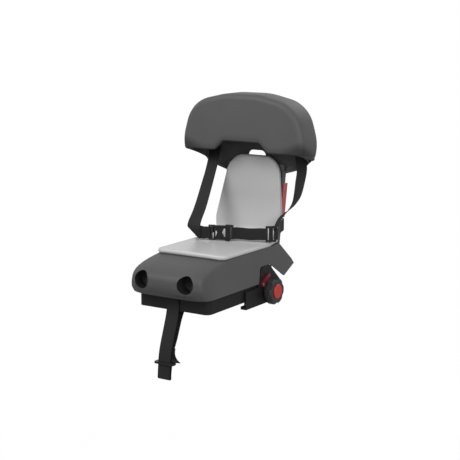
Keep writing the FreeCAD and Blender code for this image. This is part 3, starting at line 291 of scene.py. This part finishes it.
def webbing_finish(name, colour):
    """Woven webbing on the strap's own map: herringbone ribs, bound edges and sewn lines where marked.

    Ribs are a sine along the run, put off by a zigzag across, and cords are a sine across.
    """
    row, rib_rate, cord_rate = 0.0084, 3490.0, 5200.0
    binding, seam, stitch = 0.0108, 0.0085, 0.0034
    finish = Finish(name)
    run, across, _ = finish.parts(finish.node("ShaderNodeUVMap", {"uv_map": "weave"}, {}))
    sewn = finish.node("ShaderNodeAttribute", {"attribute_name": "sewn"}, {}, "Fac")
    zigzag = abs(across.wrapped(row) - row / 2)
    ribs = ((run + zigzag) * rib_rate).sine() * 0.5 + 0.5
    cords = (across * cord_rate).sine() * 0.5 + 0.5
    bound = abs(across).ramp(binding, binding + 0.000714)
    line = abs(abs(across) - seam).ramp(0.000385, 0.0)
    dash = run.wrapped(stitch).ramp(0.0007, 0.00095)
    thread = line * dash * sewn
    where = finish.place()
    dust = finish.noise(where, 60.0, 4.0)
    fuzz = finish.noise(where, 2400.0, 2.0)
    base = finish.mix(ribs * 0.8 + fuzz * 0.2, tone(colour, 0.72), tone(colour, 1.22))
    base = finish.mix(bound * 0.5, base, tone(colour, 0.75))
    base = finish.mix(dust.ramp(0.52, 0.853) * 0.25, base, tone(colour, 1.7))
    base = finish.mix(thread, base, tone(colour, 2.4))
    height = ribs * (1.0 - bound) * 0.6 + cords * 0.25 + bound * 0.7 + thread * 0.8
    normal = finish.relief(height, 0.00022, 0.6)
    roughness = 0.62 + 0.2 * fuzz - 0.1 * ribs
    gloss = {"Specular_IOR_Level": 0.2, "Sheen_Weight": 0.02}
    return finish.set(Base_Color=base, Roughness=roughness, Normal=normal, **gloss)


def cushion_finish(name, colour):
    """A moulded foam skin: pebbled grain, soft mottling, gloss that wear evens out, and painted light and
    shade that make its low parts paler than its top.
    """
    finish = Finish(name)
    where = finish.place()
    _, _, z = finish.parts(where)
    pebbles = finish.cells(where, 620.0, "SMOOTH_F1")
    fine = finish.noise(where, 1900.0, 2.0)
    mottle = finish.noise(where, 22.0, 4.0)
    rub = finish.noise(where, 9.0, 3.0).ramp(0.5, 0.75)
    base = finish.mix(mottle, tone(colour, 0.94), tone(colour, 1.05))
    base = finish.mix(pebbles * 0.22, base, tone(colour, 0.78))
    # Painted light and shade: the pad's low parts paler than its top, as the light falls.
    base = finish.mix(z.ramp(0.195, 0.1325), base, tone(colour, 1.28))
    roughness = 0.3 + 0.1 * fine + 0.08 * rub
    normal = finish.relief((1.0 - pebbles) * 0.6 + fine * 0.25, 0.0001, 0.3)
    return finish.set(Base_Color=base, Roughness=roughness, Normal=normal, Specular_IOR_Level=0.25)


def reflector_finish(name, colour):
    """A prismatic red lens: rows of small square prisms under a clear coat."""
    prism_rate = 330.0
    finish = Finish(name)
    where = finish.place()
    prisms = finish.cells(where, prism_rate, "F1", 0.0)
    bars = finish.cells(where, prism_rate, "DISTANCE_TO_EDGE", 0.0)
    dust = finish.noise(where, 40.0, 4.0)
    base = finish.mix(prisms, tone(colour, 1.35), tone(colour, 0.5))
    base = finish.mix(dust.ramp(0.5, 1.0) * 0.3, base, tone(colour, 0.7))
    normal = finish.relief(bars, 0.0008, 0.8, finish.soft_edges(0.001))
    roughness = 0.2 + 0.12 * dust
    coat = {"Coat_Weight": 0.8, "Coat_Roughness": 0.06}
    return finish.set(Base_Color=base, Roughness=roughness, Normal=normal, **coat)


def steel_finish(name, colour):
    """Zinc-plated steel: turned lines round the spindle's axis and cloudy plating."""
    finish = Finish(name)
    where = finish.place()
    lines = finish.noise(finish.stretched(where, (2600.0, 60.0, 60.0)), 1.0, 2.0)
    cloud = finish.noise(where, 130.0, 4.0)
    base = finish.mix(cloud, tone(colour, 0.85), tone(colour, 1.1))
    normal = finish.relief(lines, 0.00005, 0.4, finish.soft_edges(0.0004))
    roughness = 0.26 + 0.14 * cloud + 0.08 * lines
    return finish.set(Base_Color=base, Roughness=roughness, Normal=normal, Metallic=1.0)


GREY = (0.062, 0.062, 0.0625)
BLACK = (0.0085, 0.0085, 0.009)
FITTING = (0.009, 0.009, 0.0094)
WEBBING = (0.0085, 0.0085, 0.0088)
KNOB = (0.028, 0.029, 0.03)
CUSHION = (0.305, 0.305, 0.305)
RED = (0.4, 0.022, 0.018)
# The safety catch's darker red is painted shade, for a catch that sits in shadow.
CATCH_SHADE_RED = (0.13, 0.008, 0.012)
LENS = (0.36, 0.02, 0.02)
STEEL = (0.56, 0.56, 0.55)

FINISHES = {
    "shell_grey": moulded("shell_grey_moulding", GREY, 0.54, shine=0.2, shell_shade=True),
    "tray_black": moulded("tray_black_moulding", BLACK, 0.52, 800.0, 0.4, shine=0.16),
    "fitting_black": moulded("fitting_black_moulding", FITTING, 0.4, 1500.0, 0.2, 0.0006, 0.2),
    "knob_black": moulded("knob_black_moulding", KNOB, 0.46, 1100.0, 0.35, 0.0012, 0.2),
    "signal_red": moulded("signal_red_moulding", RED, 0.36, 1500.0, 0.15, 0.0008),
    "catch_shade_red": moulded("catch_shade_red_moulding", CATCH_SHADE_RED, 0.4, 1500.0, 0.15, 0.0008),
    "webbing_black": webbing_finish("black_webbing", WEBBING),
    "cushion_grey": cushion_finish("cushion_skin", CUSHION),
    "reflector_red": reflector_finish("reflector_lens", LENS),
    "steel": steel_finish("plated_steel", STEEL),
}


def soft_shading():
    """A modifier that joins a node's loose triangles and shades them smooth, apart from steep edges."""
    tree = bpy.data.node_groups.new("soft_shading", "GeometryNodeTree")
    for way in ("INPUT", "OUTPUT"):
        tree.interface.new_socket("Geometry", in_out=way, socket_type="NodeSocketGeometry")
    nodes = Nodes(tree)
    shape = nodes.node("NodeGroupInput", {}, {})
    shape = nodes.node("GeometryNodeRemoveAttribute", {}, {0: shape, "Name": "custom_normal"})
    shape = nodes.node("GeometryNodeMergeByDistance", {}, {0: shape, "Distance": WELD})
    shape = nodes.node("GeometryNodeSetShadeSmooth", {}, {0: shape, "Shade Smooth": True})
    angle = nodes.node("GeometryNodeInputMeshEdgeAngle", {}, {})
    steep = nodes.node("FunctionNodeCompare", {"operation": "GREATER_THAN"}, {0: angle, 1: CREASE})
    creased = {0: shape, "Selection": steep, "Shade Smooth": False}
    shape = nodes.node("GeometryNodeSetShadeSmooth", {"domain": "EDGE"}, creased)
    nodes.node("NodeGroupOutput", {}, {0: shape})
    return tree


def mesh_piece(name, points, quads, ends, smooth=True):
    """A mesh object at the origin from points in millimetres, four-sided faces and end faces."""
    mesh = bpy.data.meshes.new(name)
    mesh.from_pydata((points * MM).tolist(), [], quads.tolist() + ends)
    mesh.polygons.foreach_set("use_smooth", np.full(len(mesh.polygons), smooth))
    piece = bpy.data.objects.new(name, mesh)
    bpy.context.scene.collection.objects.link(piece)
    return piece


def ring_faces(rows, columns):
    """Four-sided faces between neighbouring rings of points, closed round each ring."""
    row, column = np.meshgrid(np.arange(rows - 1), np.arange(columns), indexing="ij")
    following = (column + 1) % columns
    corners = [row * columns + column, row * columns + following]
    corners += [(row + 1) * columns + following, (row + 1) * columns + column]
    return np.stack(corners, axis=-1).reshape(-1, 4)


def end_faces(rows, columns):
    """The two faces that close the first and the last ring, turned outwards."""
    first = list(range(columns))[::-1]
    return [first, list(range((rows - 1) * columns, rows * columns))]


def ring_piece(name, rings, smooth=True):
    """A closed piece from rings of points."""
    size = rings.shape[:2]
    return mesh_piece(name, rings.reshape(-1, 3), ring_faces(*size), end_faces(*size), smooth)


def spline(route, step):
    """Points at even steps on the natural cubic spline through a route, with knots at its chord lengths.

    The second derivatives at the knots solve the usual three-banded system, and are zero at both ends.
    """
    route = np.asarray(route, float)
    knots = np.concatenate([[0], np.cumsum(np.linalg.norm(np.diff(route, axis=0), axis=1))])
    gaps = np.diff(knots)
    slopes = np.diff(route, axis=0) / gaps[:, None]
    bends = np.zeros_like(route)
    beside = np.diag(gaps[1:-1], 1)
    system = np.diag(2 * (gaps[:-1] + gaps[1:])) + beside + beside.T
    bends[1:-1] = np.linalg.solve(system, 6 * np.diff(slopes, axis=0))
    marks = np.linspace(0, knots[-1], int(knots[-1] / step) + 2)
    run = np.clip(np.searchsorted(knots, marks, side="right") - 1, 0, len(gaps) - 1)
    past, gap = (marks - knots[run])[:, None], gaps[run][:, None]
    cubic = (bends[run + 1] - bends[run]) / (6 * gap)
    linear = slopes[run] - gap * (2 * bends[run] + bends[run + 1]) / 6
    points = route[run] + past * (linear + past * (bends[run] / 2 + past * cubic))
    return points, marks, knots


def swept(name, points, marks, sides, outline, along=0.0):
    """A closed outline carried along a line of points.

    Its across lies along the given sides, made square to the line, and its through lies square to both.
    Along moves each point on the line's own heading.
    """
    across, through = outline
    heading = np.gradient(points, marks, axis=0)
    heading /= np.linalg.norm(heading, axis=1, keepdims=True)
    sides = sides - heading * np.sum(sides * heading, axis=1, keepdims=True)
    sides /= np.linalg.norm(sides, axis=1, keepdims=True)
    up = np.cross(heading, sides)
    rings = points[:, None] + sides[:, None] * across[:, None] + up[:, None] * through[:, None]
    return ring_piece(name, rings + heading[:, None] * np.asarray(along)[..., None])


def flat_outline(width, depth):
    """A flattened superellipse: half width times the cosine to 0.4, half depth times the sine's root."""
    turn = np.linspace(0, 2 * np.pi, 36, endpoint=False)
    across = np.sign(np.cos(turn)) * np.abs(np.cos(turn)) ** 0.4 * width / 2
    return across, np.sign(np.sin(turn)) * np.abs(np.sin(turn)) ** 0.5 * depth / 2


def round_outline(radius):
    """A circle: radius times the cosine and the sine."""
    turn = np.linspace(0, 2 * np.pi, 20, endpoint=False)
    return radius * np.cos(turn), radius * np.sin(turn)


def fitted(piece, slot, body="seat"):
    """Gives a piece its slot's finish and lets it ride a body."""
    piece.data.materials.append(FINISHES[slot])
    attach(piece, body)
    return piece


def web(name, route, flats, width=WEB_WIDTH, sewn=(), shear=(0, 0), step=WEB_STEP):
    """Webbing: a flat outline carried along a spline, with its long side along the given flats.

    A shear slants the first or last end by its tangent and fades out. Sewn gives the stitched lengths.
    """
    points, marks, knots = spline(route, step)
    flats = np.asarray(flats, float)
    sides = np.stack([np.interp(marks, knots, flats[:, axis]) for axis in range(3)], axis=-1)
    outline = flat_outline(width, WEB_DEPTH)
    across = outline[0]
    fade_first = np.clip(1 - marks / SHEAR_FADE, 0, 1) * shear[0]
    fade_last = np.clip(1 - (marks[-1] - marks) / SHEAR_FADE, 0, 1) * shear[1]
    along = (fade_first + fade_last)[:, None] * across
    piece = swept(name, points, marks, sides, outline, along)
    chart = np.stack([marks[:, None] + along, np.broadcast_to(across, along.shape)], axis=-1) * MM
    corner = np.zeros(len(piece.data.loops), np.int32)
    piece.data.loops.foreach_get("vertex_index", corner)
    uv = chart.reshape(-1, 2)[corner].ravel().astype(np.float32)
    piece.data.uv_layers.new(name="weave").data.foreach_set("uv", uv)
    held = np.zeros(len(marks))
    for start, end in sewn:
        held = np.maximum(held, (marks >= start) & (marks <= end))
    mark = piece.data.attributes.new("sewn", "FLOAT", "POINT")
    mark.data.foreach_set("value", np.repeat(held, len(across)).astype(np.float32))
    return fitted(piece, "webbing_black")


def turned(angle, along, out):
    """A level step: along an axis turned by an angle, and out towards its front."""
    axis, front = (np.cos(angle), np.sin(angle), 0), (np.sin(angle), -np.cos(angle), 0)
    return np.array(axis) * along + np.array(front) * out


def at_buckle(along, out):
    """A place on the buckle, along it and out from its middle."""
    return BUCKLE + turned(BUCKLE_TURN, along, out)


def at_adjuster(along, out):
    """A place on the strap adjuster, along it and out from its middle."""
    return ADJUSTER + turned(ADJUSTER_TURN, along, out)


def harness():
    """The harness's webbing: shoulder straps, belt's fold and left ply, lap straps and buckle's web."""
    along, ahead = turned(BUCKLE_TURN, 1, 0), turned(BUCKLE_TURN, 0, 1)
    left = [
        (-106, 180.6, 317), (-106, 180.6, 309), (-106, 180, 301), (-96.2, 160.6, 275.5),
        (-83.4, 124.6, 238.5), (-73, 88.6, 202.5), (-64, 48.8, 161.5), (-61.6, 34.3, 146.5),
        (-61.1, 30.9, 137.5), (-61.1, 30.9, 125.5),
    ]
    flats = [X_AXIS] * 5 + [turned(BUCKLE_TURN * share, 1, 0) for share in (0.33, 0.7, 1, 1, 1)]
    strap = web("shoulder_strap_left_web", left, flats, SHOULDER_WIDTH, shear=(0, 1))
    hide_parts("shoulder_strap_left")
    turn = np.linspace(0, np.pi, 9)[:, None]
    out = -(along + Z_AXIS) / np.sqrt(2)
    slant = (along - Z_AXIS) / np.sqrt(2)
    loop = FOLD + FOLD_RADIUS * (ahead + out * np.sin(turn) + ahead * np.cos(turn))
    web("belt_fold", loop, [slant] * len(loop), WEB_WIDTH * np.sqrt(2), step=FOLD_STEP)
    ply = [
        FOLD, FOLD + along * 8, FOLD + along * 20,
        at_buckle(-23.4, 3.4), at_buckle(-21.4, 4.9), at_buckle(-19.2, 4.2), at_buckle(-18.3, 0),
    ]
    web("belt_left_ply", ply, [Z_AXIS] * len(ply), shear=(-1, 0), sewn=[(14, 22)])
    right = [
        (106, 180.6, 317), (106, 180.6, 309), (106, 180, 301), (111.5, 176, 279), (117, 172, 256),
        (116.4, 166, 230), (115.2, 158, 204), (110.2, 150, 184.5), (101.5, 140, 169.5),
        (95.5, 128.5, 159.5), (92.5, 117, 149), (92, 106, 138), (91.5, 103, 133),
    ]
    flats = [X_AXIS] * 4 + [
        (1, -0.05, 0), (0.98, -0.15, 0), (0.92, -0.35, 0.05), (0.72, -0.62, 0.14), (0.6, -0.72, 0.3),
        (0.5, -0.5, 0.6), (0.35, -0.35, 0.8), (0.3, -0.2, 0.9), (0.3, -0.2, 0.9),
    ]
    strap = web("shoulder_strap_right_web", right, flats, sewn=[(205, 222)])
    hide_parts("shoulder_strap_right")
    lap = [
        (-53.4, 38.4, 125.5), (-60.4, 48.4, 125.5), (-72.4, 58.9, 125), (-84.4, 70.4, 122.5),
        (-89.9, 83.4, 119), (-91.4, 108.4, 111), (-89.9, 139.7, 105.5), (-89.4, 152.2, 105.5),
        (-81.4, 156.2, 105.5), (-75.4, 158.2, 105.5), (-73.4, 160.7, 105.5),
    ]
    strap = web("lap_strap_left_web", lap, [Z_AXIS] * len(lap), sewn=[(2, 12)])
    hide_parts("lap_strap_left")
    lap = [
        at_adjuster(7.2, 0), at_adjuster(8.2, 2.6), at_adjuster(10.2, 3.4), at_adjuster(12.4, 2.2),
        (95, 113, 128), (89.5, 126, 131), (85.4, 139, 134.5), (83.6, 150, 136.5), (80.4, 160, 137.5),
        (75.4, 163.6, 138), (73.4, 166, 138),
    ]
    strap = web("lap_strap_right_web", lap, [Z_AXIS] * len(lap), sewn=[(14, 24)])
    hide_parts("lap_strap_right")
    belt = [
        at_buckle(26.6, 0), at_buckle(27.4, 4.6), at_buckle(29.4, 6.1), at_buckle(32, 4.2),
        (46.9, 75.5, 125.5),
        at_adjuster(-12.4, 2.2), at_adjuster(-10.2, 3.4), at_adjuster(-8.2, 2.6), at_adjuster(-7.2, 0),
    ]
    strap = web("buckle_web_strap", belt, [Z_AXIS] * len(belt))
    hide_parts("buckle_web")


def carrier_strap():
    """The strap that hangs from the tray's front: a long loop through its slider, and its loose tail."""
    loop = [
        (1, -119, 29.4), (1, -128, 29.5), (1, -131.6, 29.2), (1, -132.5, 27.5), (1, -132.8, 12),
        (-1, -136.4, -20), (-5, -145, -60), (-8.6, -149.8, -98), (-9.4, -150.2, -114), (-11, -150, -134),
        (-11, -149, -139), (-11, -145, -139), (-11, -144, -134), (-9.4, -143.8, -114), (-8.6, -143.4, -98),
        (-5, -132, -60), (-1, -115, -9), (1, -111, 4), (1, -111, 24), (1, -113, 28.6), (1, -118, 29.4),
    ]
    strap = web("carrier_strap_loop", loop, [X_AXIS] * len(loop), CARRIER_WIDTH, sewn=[(140, 146)])
    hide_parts("safety_strap")
    tail = [(-7, -134.4, -76), (-7.5, -135.6, -86), (-7, -133.6, -95), (-5, -128, -104), (-3, -121, -111)]
    web("carrier_strap_tail", tail, [X_AXIS] * len(tail), CARRIER_WIDTH)


def headrest_lip():
    """The rolled lip round the headrest's mouth: a circle carried along its lower edge and arch."""
    half = np.array([
        (34, 119.4, 316), (42, 119.4, 315.6), (48.5, 119.4, 313), (55, 119.4, 307), (61.5, 119.4, 300.5),
        (66, 119.4, 297), (72, 119.4, 295.2), (80, 119.4, 295), (105, 119.4, 294.9), (130, 119.5, 294.6),
        (136.5, 120.2, 294), (141, 122.6, 293), (143.3, 128, 291.5), (143.4, 135, 289.6),
        (143, 150, 285.5), (142, 165, 281.5), (141.5, 174, 279),
    ])
    points, marks, _ = spline(np.concatenate([half[::-1] * (-1, 1, 1), half]), RIM_STEP)
    sides = np.broadcast_to((0.0, -0.2, 1.0), points.shape)
    fitted(swept("headrest_lip", points, marks, sides, round_outline(LIP_RADIUS)), "shell_grey")


def headrest_skirt():
    """The skirts under the headrest's ends: flat strips carried round each corner to the back wall."""
    route = np.array([
        (141.5, 124, 300), (141.5, 135, 294.5), (139, 150, 289), (135, 165, 283), (128, 177, 276),
        (116, 182, 269), (100, 183, 261.5), (84, 183, 256),
    ])
    outline = flat_outline(SKIRT_WIDTH, SKIRT_DEPTH)
    for name, hand in (("headrest_skirt_left", 1), ("headrest_skirt_right", -1)):
        points, marks, _ = spline(route * (hand, 1, 1), RIM_STEP)
        sides = np.broadcast_to(Z_AXIS, points.shape)
        fitted(swept(name, points, marks, sides, outline), "shell_grey")


def plate(name, side, near, far):
    """A flat plate: its side view drawn out along X between two places."""
    rings = [np.insert(np.array(side, float), 0, place, axis=1) for place in (near, far)]
    return ring_piece(name, np.stack(rings), smooth=False)


def jaw_crest():
    """The sliding jaw's crest, which fills the arch."""
    side = [
        (60, 44), (90, 48), (97, 55.5), (95.6, 60.5), (92.5, 62.7), (61, 62.7), (57.4, 61.2), (54.6, 56.5),
        (50.5, 44),
    ]
    fitted(plate("jaw_crest", side, 85.5, 90.1), "tray_black", "jaw")


def reflector_ends():
    """The reflector's turned-in ends, which lean with the back panel and cover its sides."""
    near, far = 72.1, 73.3
    side = [(159.6, 150), (176, 150), (187.9, 222), (171.5, 222)]
    fitted(plate("reflector_end_left", side, near, far), "reflector_red")
    fitted(plate("reflector_end_right", side, -far, -near), "reflector_red")


def line_points(start, end, shares):
    """Points at shares of a straight line."""
    return start + (end - start) * shares[:, None]


def quarter(share):
    """A quarter circle, which rises steeply from 0 to a level 1 and stays there."""
    return np.sqrt(1 - np.clip(1 - share, 0, 1) ** 2)


def panel_face(level):
    """The back panel's leaning front face at a level, with a little air before it."""
    foot, foot_level = PANEL_FOOT
    return foot + (level - foot_level) * PANEL_LEAN - PANEL_AIR


def cushion_paths():
    """The cushion's upper and under paths in side view, and the corner that the upper one rounds off.

    The upper path is level, turns on an arc and climbs straight, with the lumbar's extra thickness at its
    foot fading out to the top. The under path follows seat and panel into their corner.
    """
    seat_top = PAD_LOW + PAD_DEPTH
    slope = PANEL_LEAN + PAD_LUMBAR / (PAD_TOP - seat_top)
    upright = np.array([slope, 1]) / np.hypot(slope, 1)
    corner = np.array([panel_face(seat_top) - PAD_DEPTH - PAD_LUMBAR, seat_top])
    swing = np.arccos(upright[0])
    reach = PAD_BEND * np.tan(swing / 2)
    begin, finish = corner - (reach, 0), corner + upright * reach
    near = PAD_NOSE * (1 - np.cos(np.linspace(0, np.pi / 2, 14)))
    seat = np.concatenate([near, np.linspace(PAD_NOSE, begin[0] - PAD_FRONT, 52)[1:]]) + PAD_FRONT
    arc = np.linspace(0, swing, 26)[1:-1]
    crest = PAD_CROWN * (1 - np.cos(np.linspace(np.pi / 2, 0, 18)))
    back = np.concatenate([np.linspace(finish[1], PAD_TOP - PAD_CROWN, 34), PAD_TOP - crest[1:]])
    upper = np.concatenate([
        np.stack([seat, np.full(len(seat), seat_top)], axis=-1),
        begin + (0, PAD_BEND) + PAD_BEND * np.stack([np.sin(arc), -np.cos(arc)], axis=-1),
        np.stack([corner[0] + (back - seat_top) * slope, back], axis=-1),
    ])
    shares = arc / swing * 2
    low_corner = np.array([panel_face(PAD_LOW), PAD_LOW])
    first, last = np.array([begin[0], PAD_LOW]), np.array([panel_face(finish[1]), finish[1]])
    bow = line_points(first, low_corner, np.clip(shares, 0, 1))
    bow += line_points(low_corner, last, np.clip(shares - 1, 0, 1)) - low_corner
    under = np.concatenate([
        np.stack([seat, np.full(len(seat), PAD_LOW)], axis=-1),
        bow,
        np.stack([panel_face(back), back], axis=-1),
    ])
    return upper, under, corner


def cushion():
    """The moulded cushion: rings between an under path and an upper path, which bend at the hip.

    Each ring is a stadium of flat runs and half-round edges. Its half width grows along the seat, tapers
    up the back and is drawn in near the hip. Both ends round off as quarter circles in width and in
    thickness, and the upper face falls towards its sides with the fourth power.
    """
    front_half, spread, spread_reach, taper, taper_level = 84, 2, 190, 25, 126
    hip_draw, hip_reach, side_fall = 15, 40, 0.16
    upper, under, corner = cushion_paths()
    ahead, above = upper[:, 0] - PAD_FRONT, PAD_TOP - upper[:, 1]
    climb = np.clip((upper[:, 1] - taper_level) / (PAD_TOP - taper_level), 0, 1)
    hip = np.clip(1 - np.linalg.norm(upper - corner, axis=1) / hip_reach, 0, 1)
    half = front_half + spread * np.clip(ahead / spread_reach, 0, 1)
    half -= taper * climb + hip_draw * hip ** 1.5
    half -= PAD_NOSE * (1 - quarter(ahead / PAD_NOSE)) + PAD_CROWN * (1 - quarter(above / PAD_CROWN))
    tight = quarter((ahead + PAD_END) / PAD_EDGE) * quarter((above + PAD_END) / PAD_EDGE)
    half, tight = half[:, None], tight[:, None]
    flat = np.linspace(-1, 1, 31)
    turn = np.linspace(np.pi / 2, -np.pi / 2, 11)[1:-1]
    flat_one, turn_one = np.ones_like(flat), np.ones_like(turn)
    level = np.concatenate([flat, turn_one, flat[::-1], -turn_one])
    round_off = np.concatenate([0 * flat, np.cos(turn), 0 * flat, -np.cos(turn)])
    height = np.concatenate([flat_one, np.sin(turn), -flat_one, -np.sin(turn)])
    across = (half - PAD_EDGE * tight) * level + PAD_EDGE * tight * round_off
    share = (0.5 + 0.5 * height * tight) * (1 - side_fall * (np.abs(across) / half) ** 4)
    side = under[:, None] + (upper - under)[:, None] * share[..., None]
    piece = ring_piece("seat_cushion", np.concatenate([across[..., None], side], axis=-1))
    fitted(piece, "cushion_grey")
    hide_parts("cushion")


def dress_nodes():
    """Gives every solid its slot's finish, apart from the catch's darker red, which is painted shade, and
    smooth shading.
    """
    shading = soft_shading()
    slots = {row["node"]: row["material_slot"] for row in frame["record"]["subparts"]}
    # The safety catch gets the darker red, as painted shade.
    slots["safety_catch"] = "catch_shade_red"
    for name, node in frame["nodes"].items():
        node.data.materials.clear()
        node.data.materials.append(FINISHES[slots[name]])
        node.modifiers.new("soft_shading", "NODES").node_group = shading


def placed(name, data, place, heading):
    """Puts a lamp or camera into the scene, turned to a heading."""
    holder = bpy.data.objects.new(name, data)
    holder.location = place
    holder.rotation_euler = Vector(heading).to_track_quat("-Z", "Y").to_euler()
    bpy.context.scene.collection.objects.link(holder)
    return holder


def studio():
    """A white room: dim light all round, which eye and mirrored rays see as white, and three lamps."""
    dim = 0.55
    world = bpy.data.worlds.new("studio")
    bpy.context.scene.world = world
    world.use_nodes = True
    room = Nodes(world.node_tree)
    kinds = ("Camera", "Transmission", "Glossy")
    rays = [room.node("ShaderNodeLightPath", {}, {}, f"Is {kind} Ray") for kind in kinds]
    straight, through, mirrored = rays
    background = room.tree.nodes["Background"]
    room.feed(background.inputs["Color"], (1, 1, 1, 1))
    seen = straight.greater(through).greater(mirrored)
    room.feed(background.inputs["Strength"], dim + (1.0 - dim) * seen)
    lamps = (
        ("key_lamp", (-1.0, -1.8, 2.0), 1.5, 54),
        ("fill_lamp", (1.9, -1.1, 1.2), 1.5, 37),
        ("rear_lamp", (0.2, 1.9, 1.6), 1.4, 10),
    )
    aim = Vector((0, 0.05, 0.15))
    for name, place, size, power in lamps:
        lamp = bpy.data.lights.new(name, "AREA")
        lamp.shape = "DISK"
        lamp.size = size
        lamp.energy = power
        placed(name, lamp, place, aim - Vector(place))


def floor():
    """A wide pale floor far below the strap, mostly white to the camera while it keeps the shadow."""
    reach, level = 6000.0, -600.0
    signs = ((-1, -1), (1, -1), (1, 1), (-1, 1))
    corners = [(reach * x, reach * y, level) for x, y in signs]
    piece = mesh_piece("studio_floor", np.array(corners), np.array([[0, 1, 2, 3]]), [], smooth=False)
    finish = Finish("studio_floor")
    path = finish.node("ShaderNodeLightPath", {}, {}, "Is Camera Ray")
    finish.set(Base_Color=finish.mix(path, (0.4, 0.4, 0.4, 1), (0.9, 0.9, 0.9, 1)), Roughness=0.9)
    glow = finish.node("ShaderNodeEmission", {}, {"Strength": 1.0})
    away = finish.node("ShaderNodeVectorMath", {"operation": "LENGTH"}, {0: finish.place()}, "Value")
    white = 0.85 + 0.15 * away.ramp(0.75, 1.25)
    shares = {0: path * white, 1: Value(finish, finish.shader.outputs[0]), 2: glow}
    mixed = finish.node("ShaderNodeMixShader", {}, shares)
    finish.feed(finish.tree.nodes["Material Output"].inputs["Surface"], mixed)
    piece.data.materials.append(finish.material)


def camera():
    """The photograph's view: from the child's front left, a little above level, through a long lens."""
    data = bpy.data.cameras.new("photo_camera")
    data.lens = 96.57
    data.sensor_width = 36
    place, heading = (1.3919, -2.0594, 0.5992), (-0.5371, 0.8238, -0.1812)
    bpy.context.scene.camera = placed("photo_camera", data, place, heading)


camera()
studio()
floor()
dress_nodes()
harness()
carrier_strap()
headrest_lip()
headrest_skirt()
jaw_crest()
reflector_ends()
cushion()
bpy.context.scene.view_settings.view_transform = "Standard"
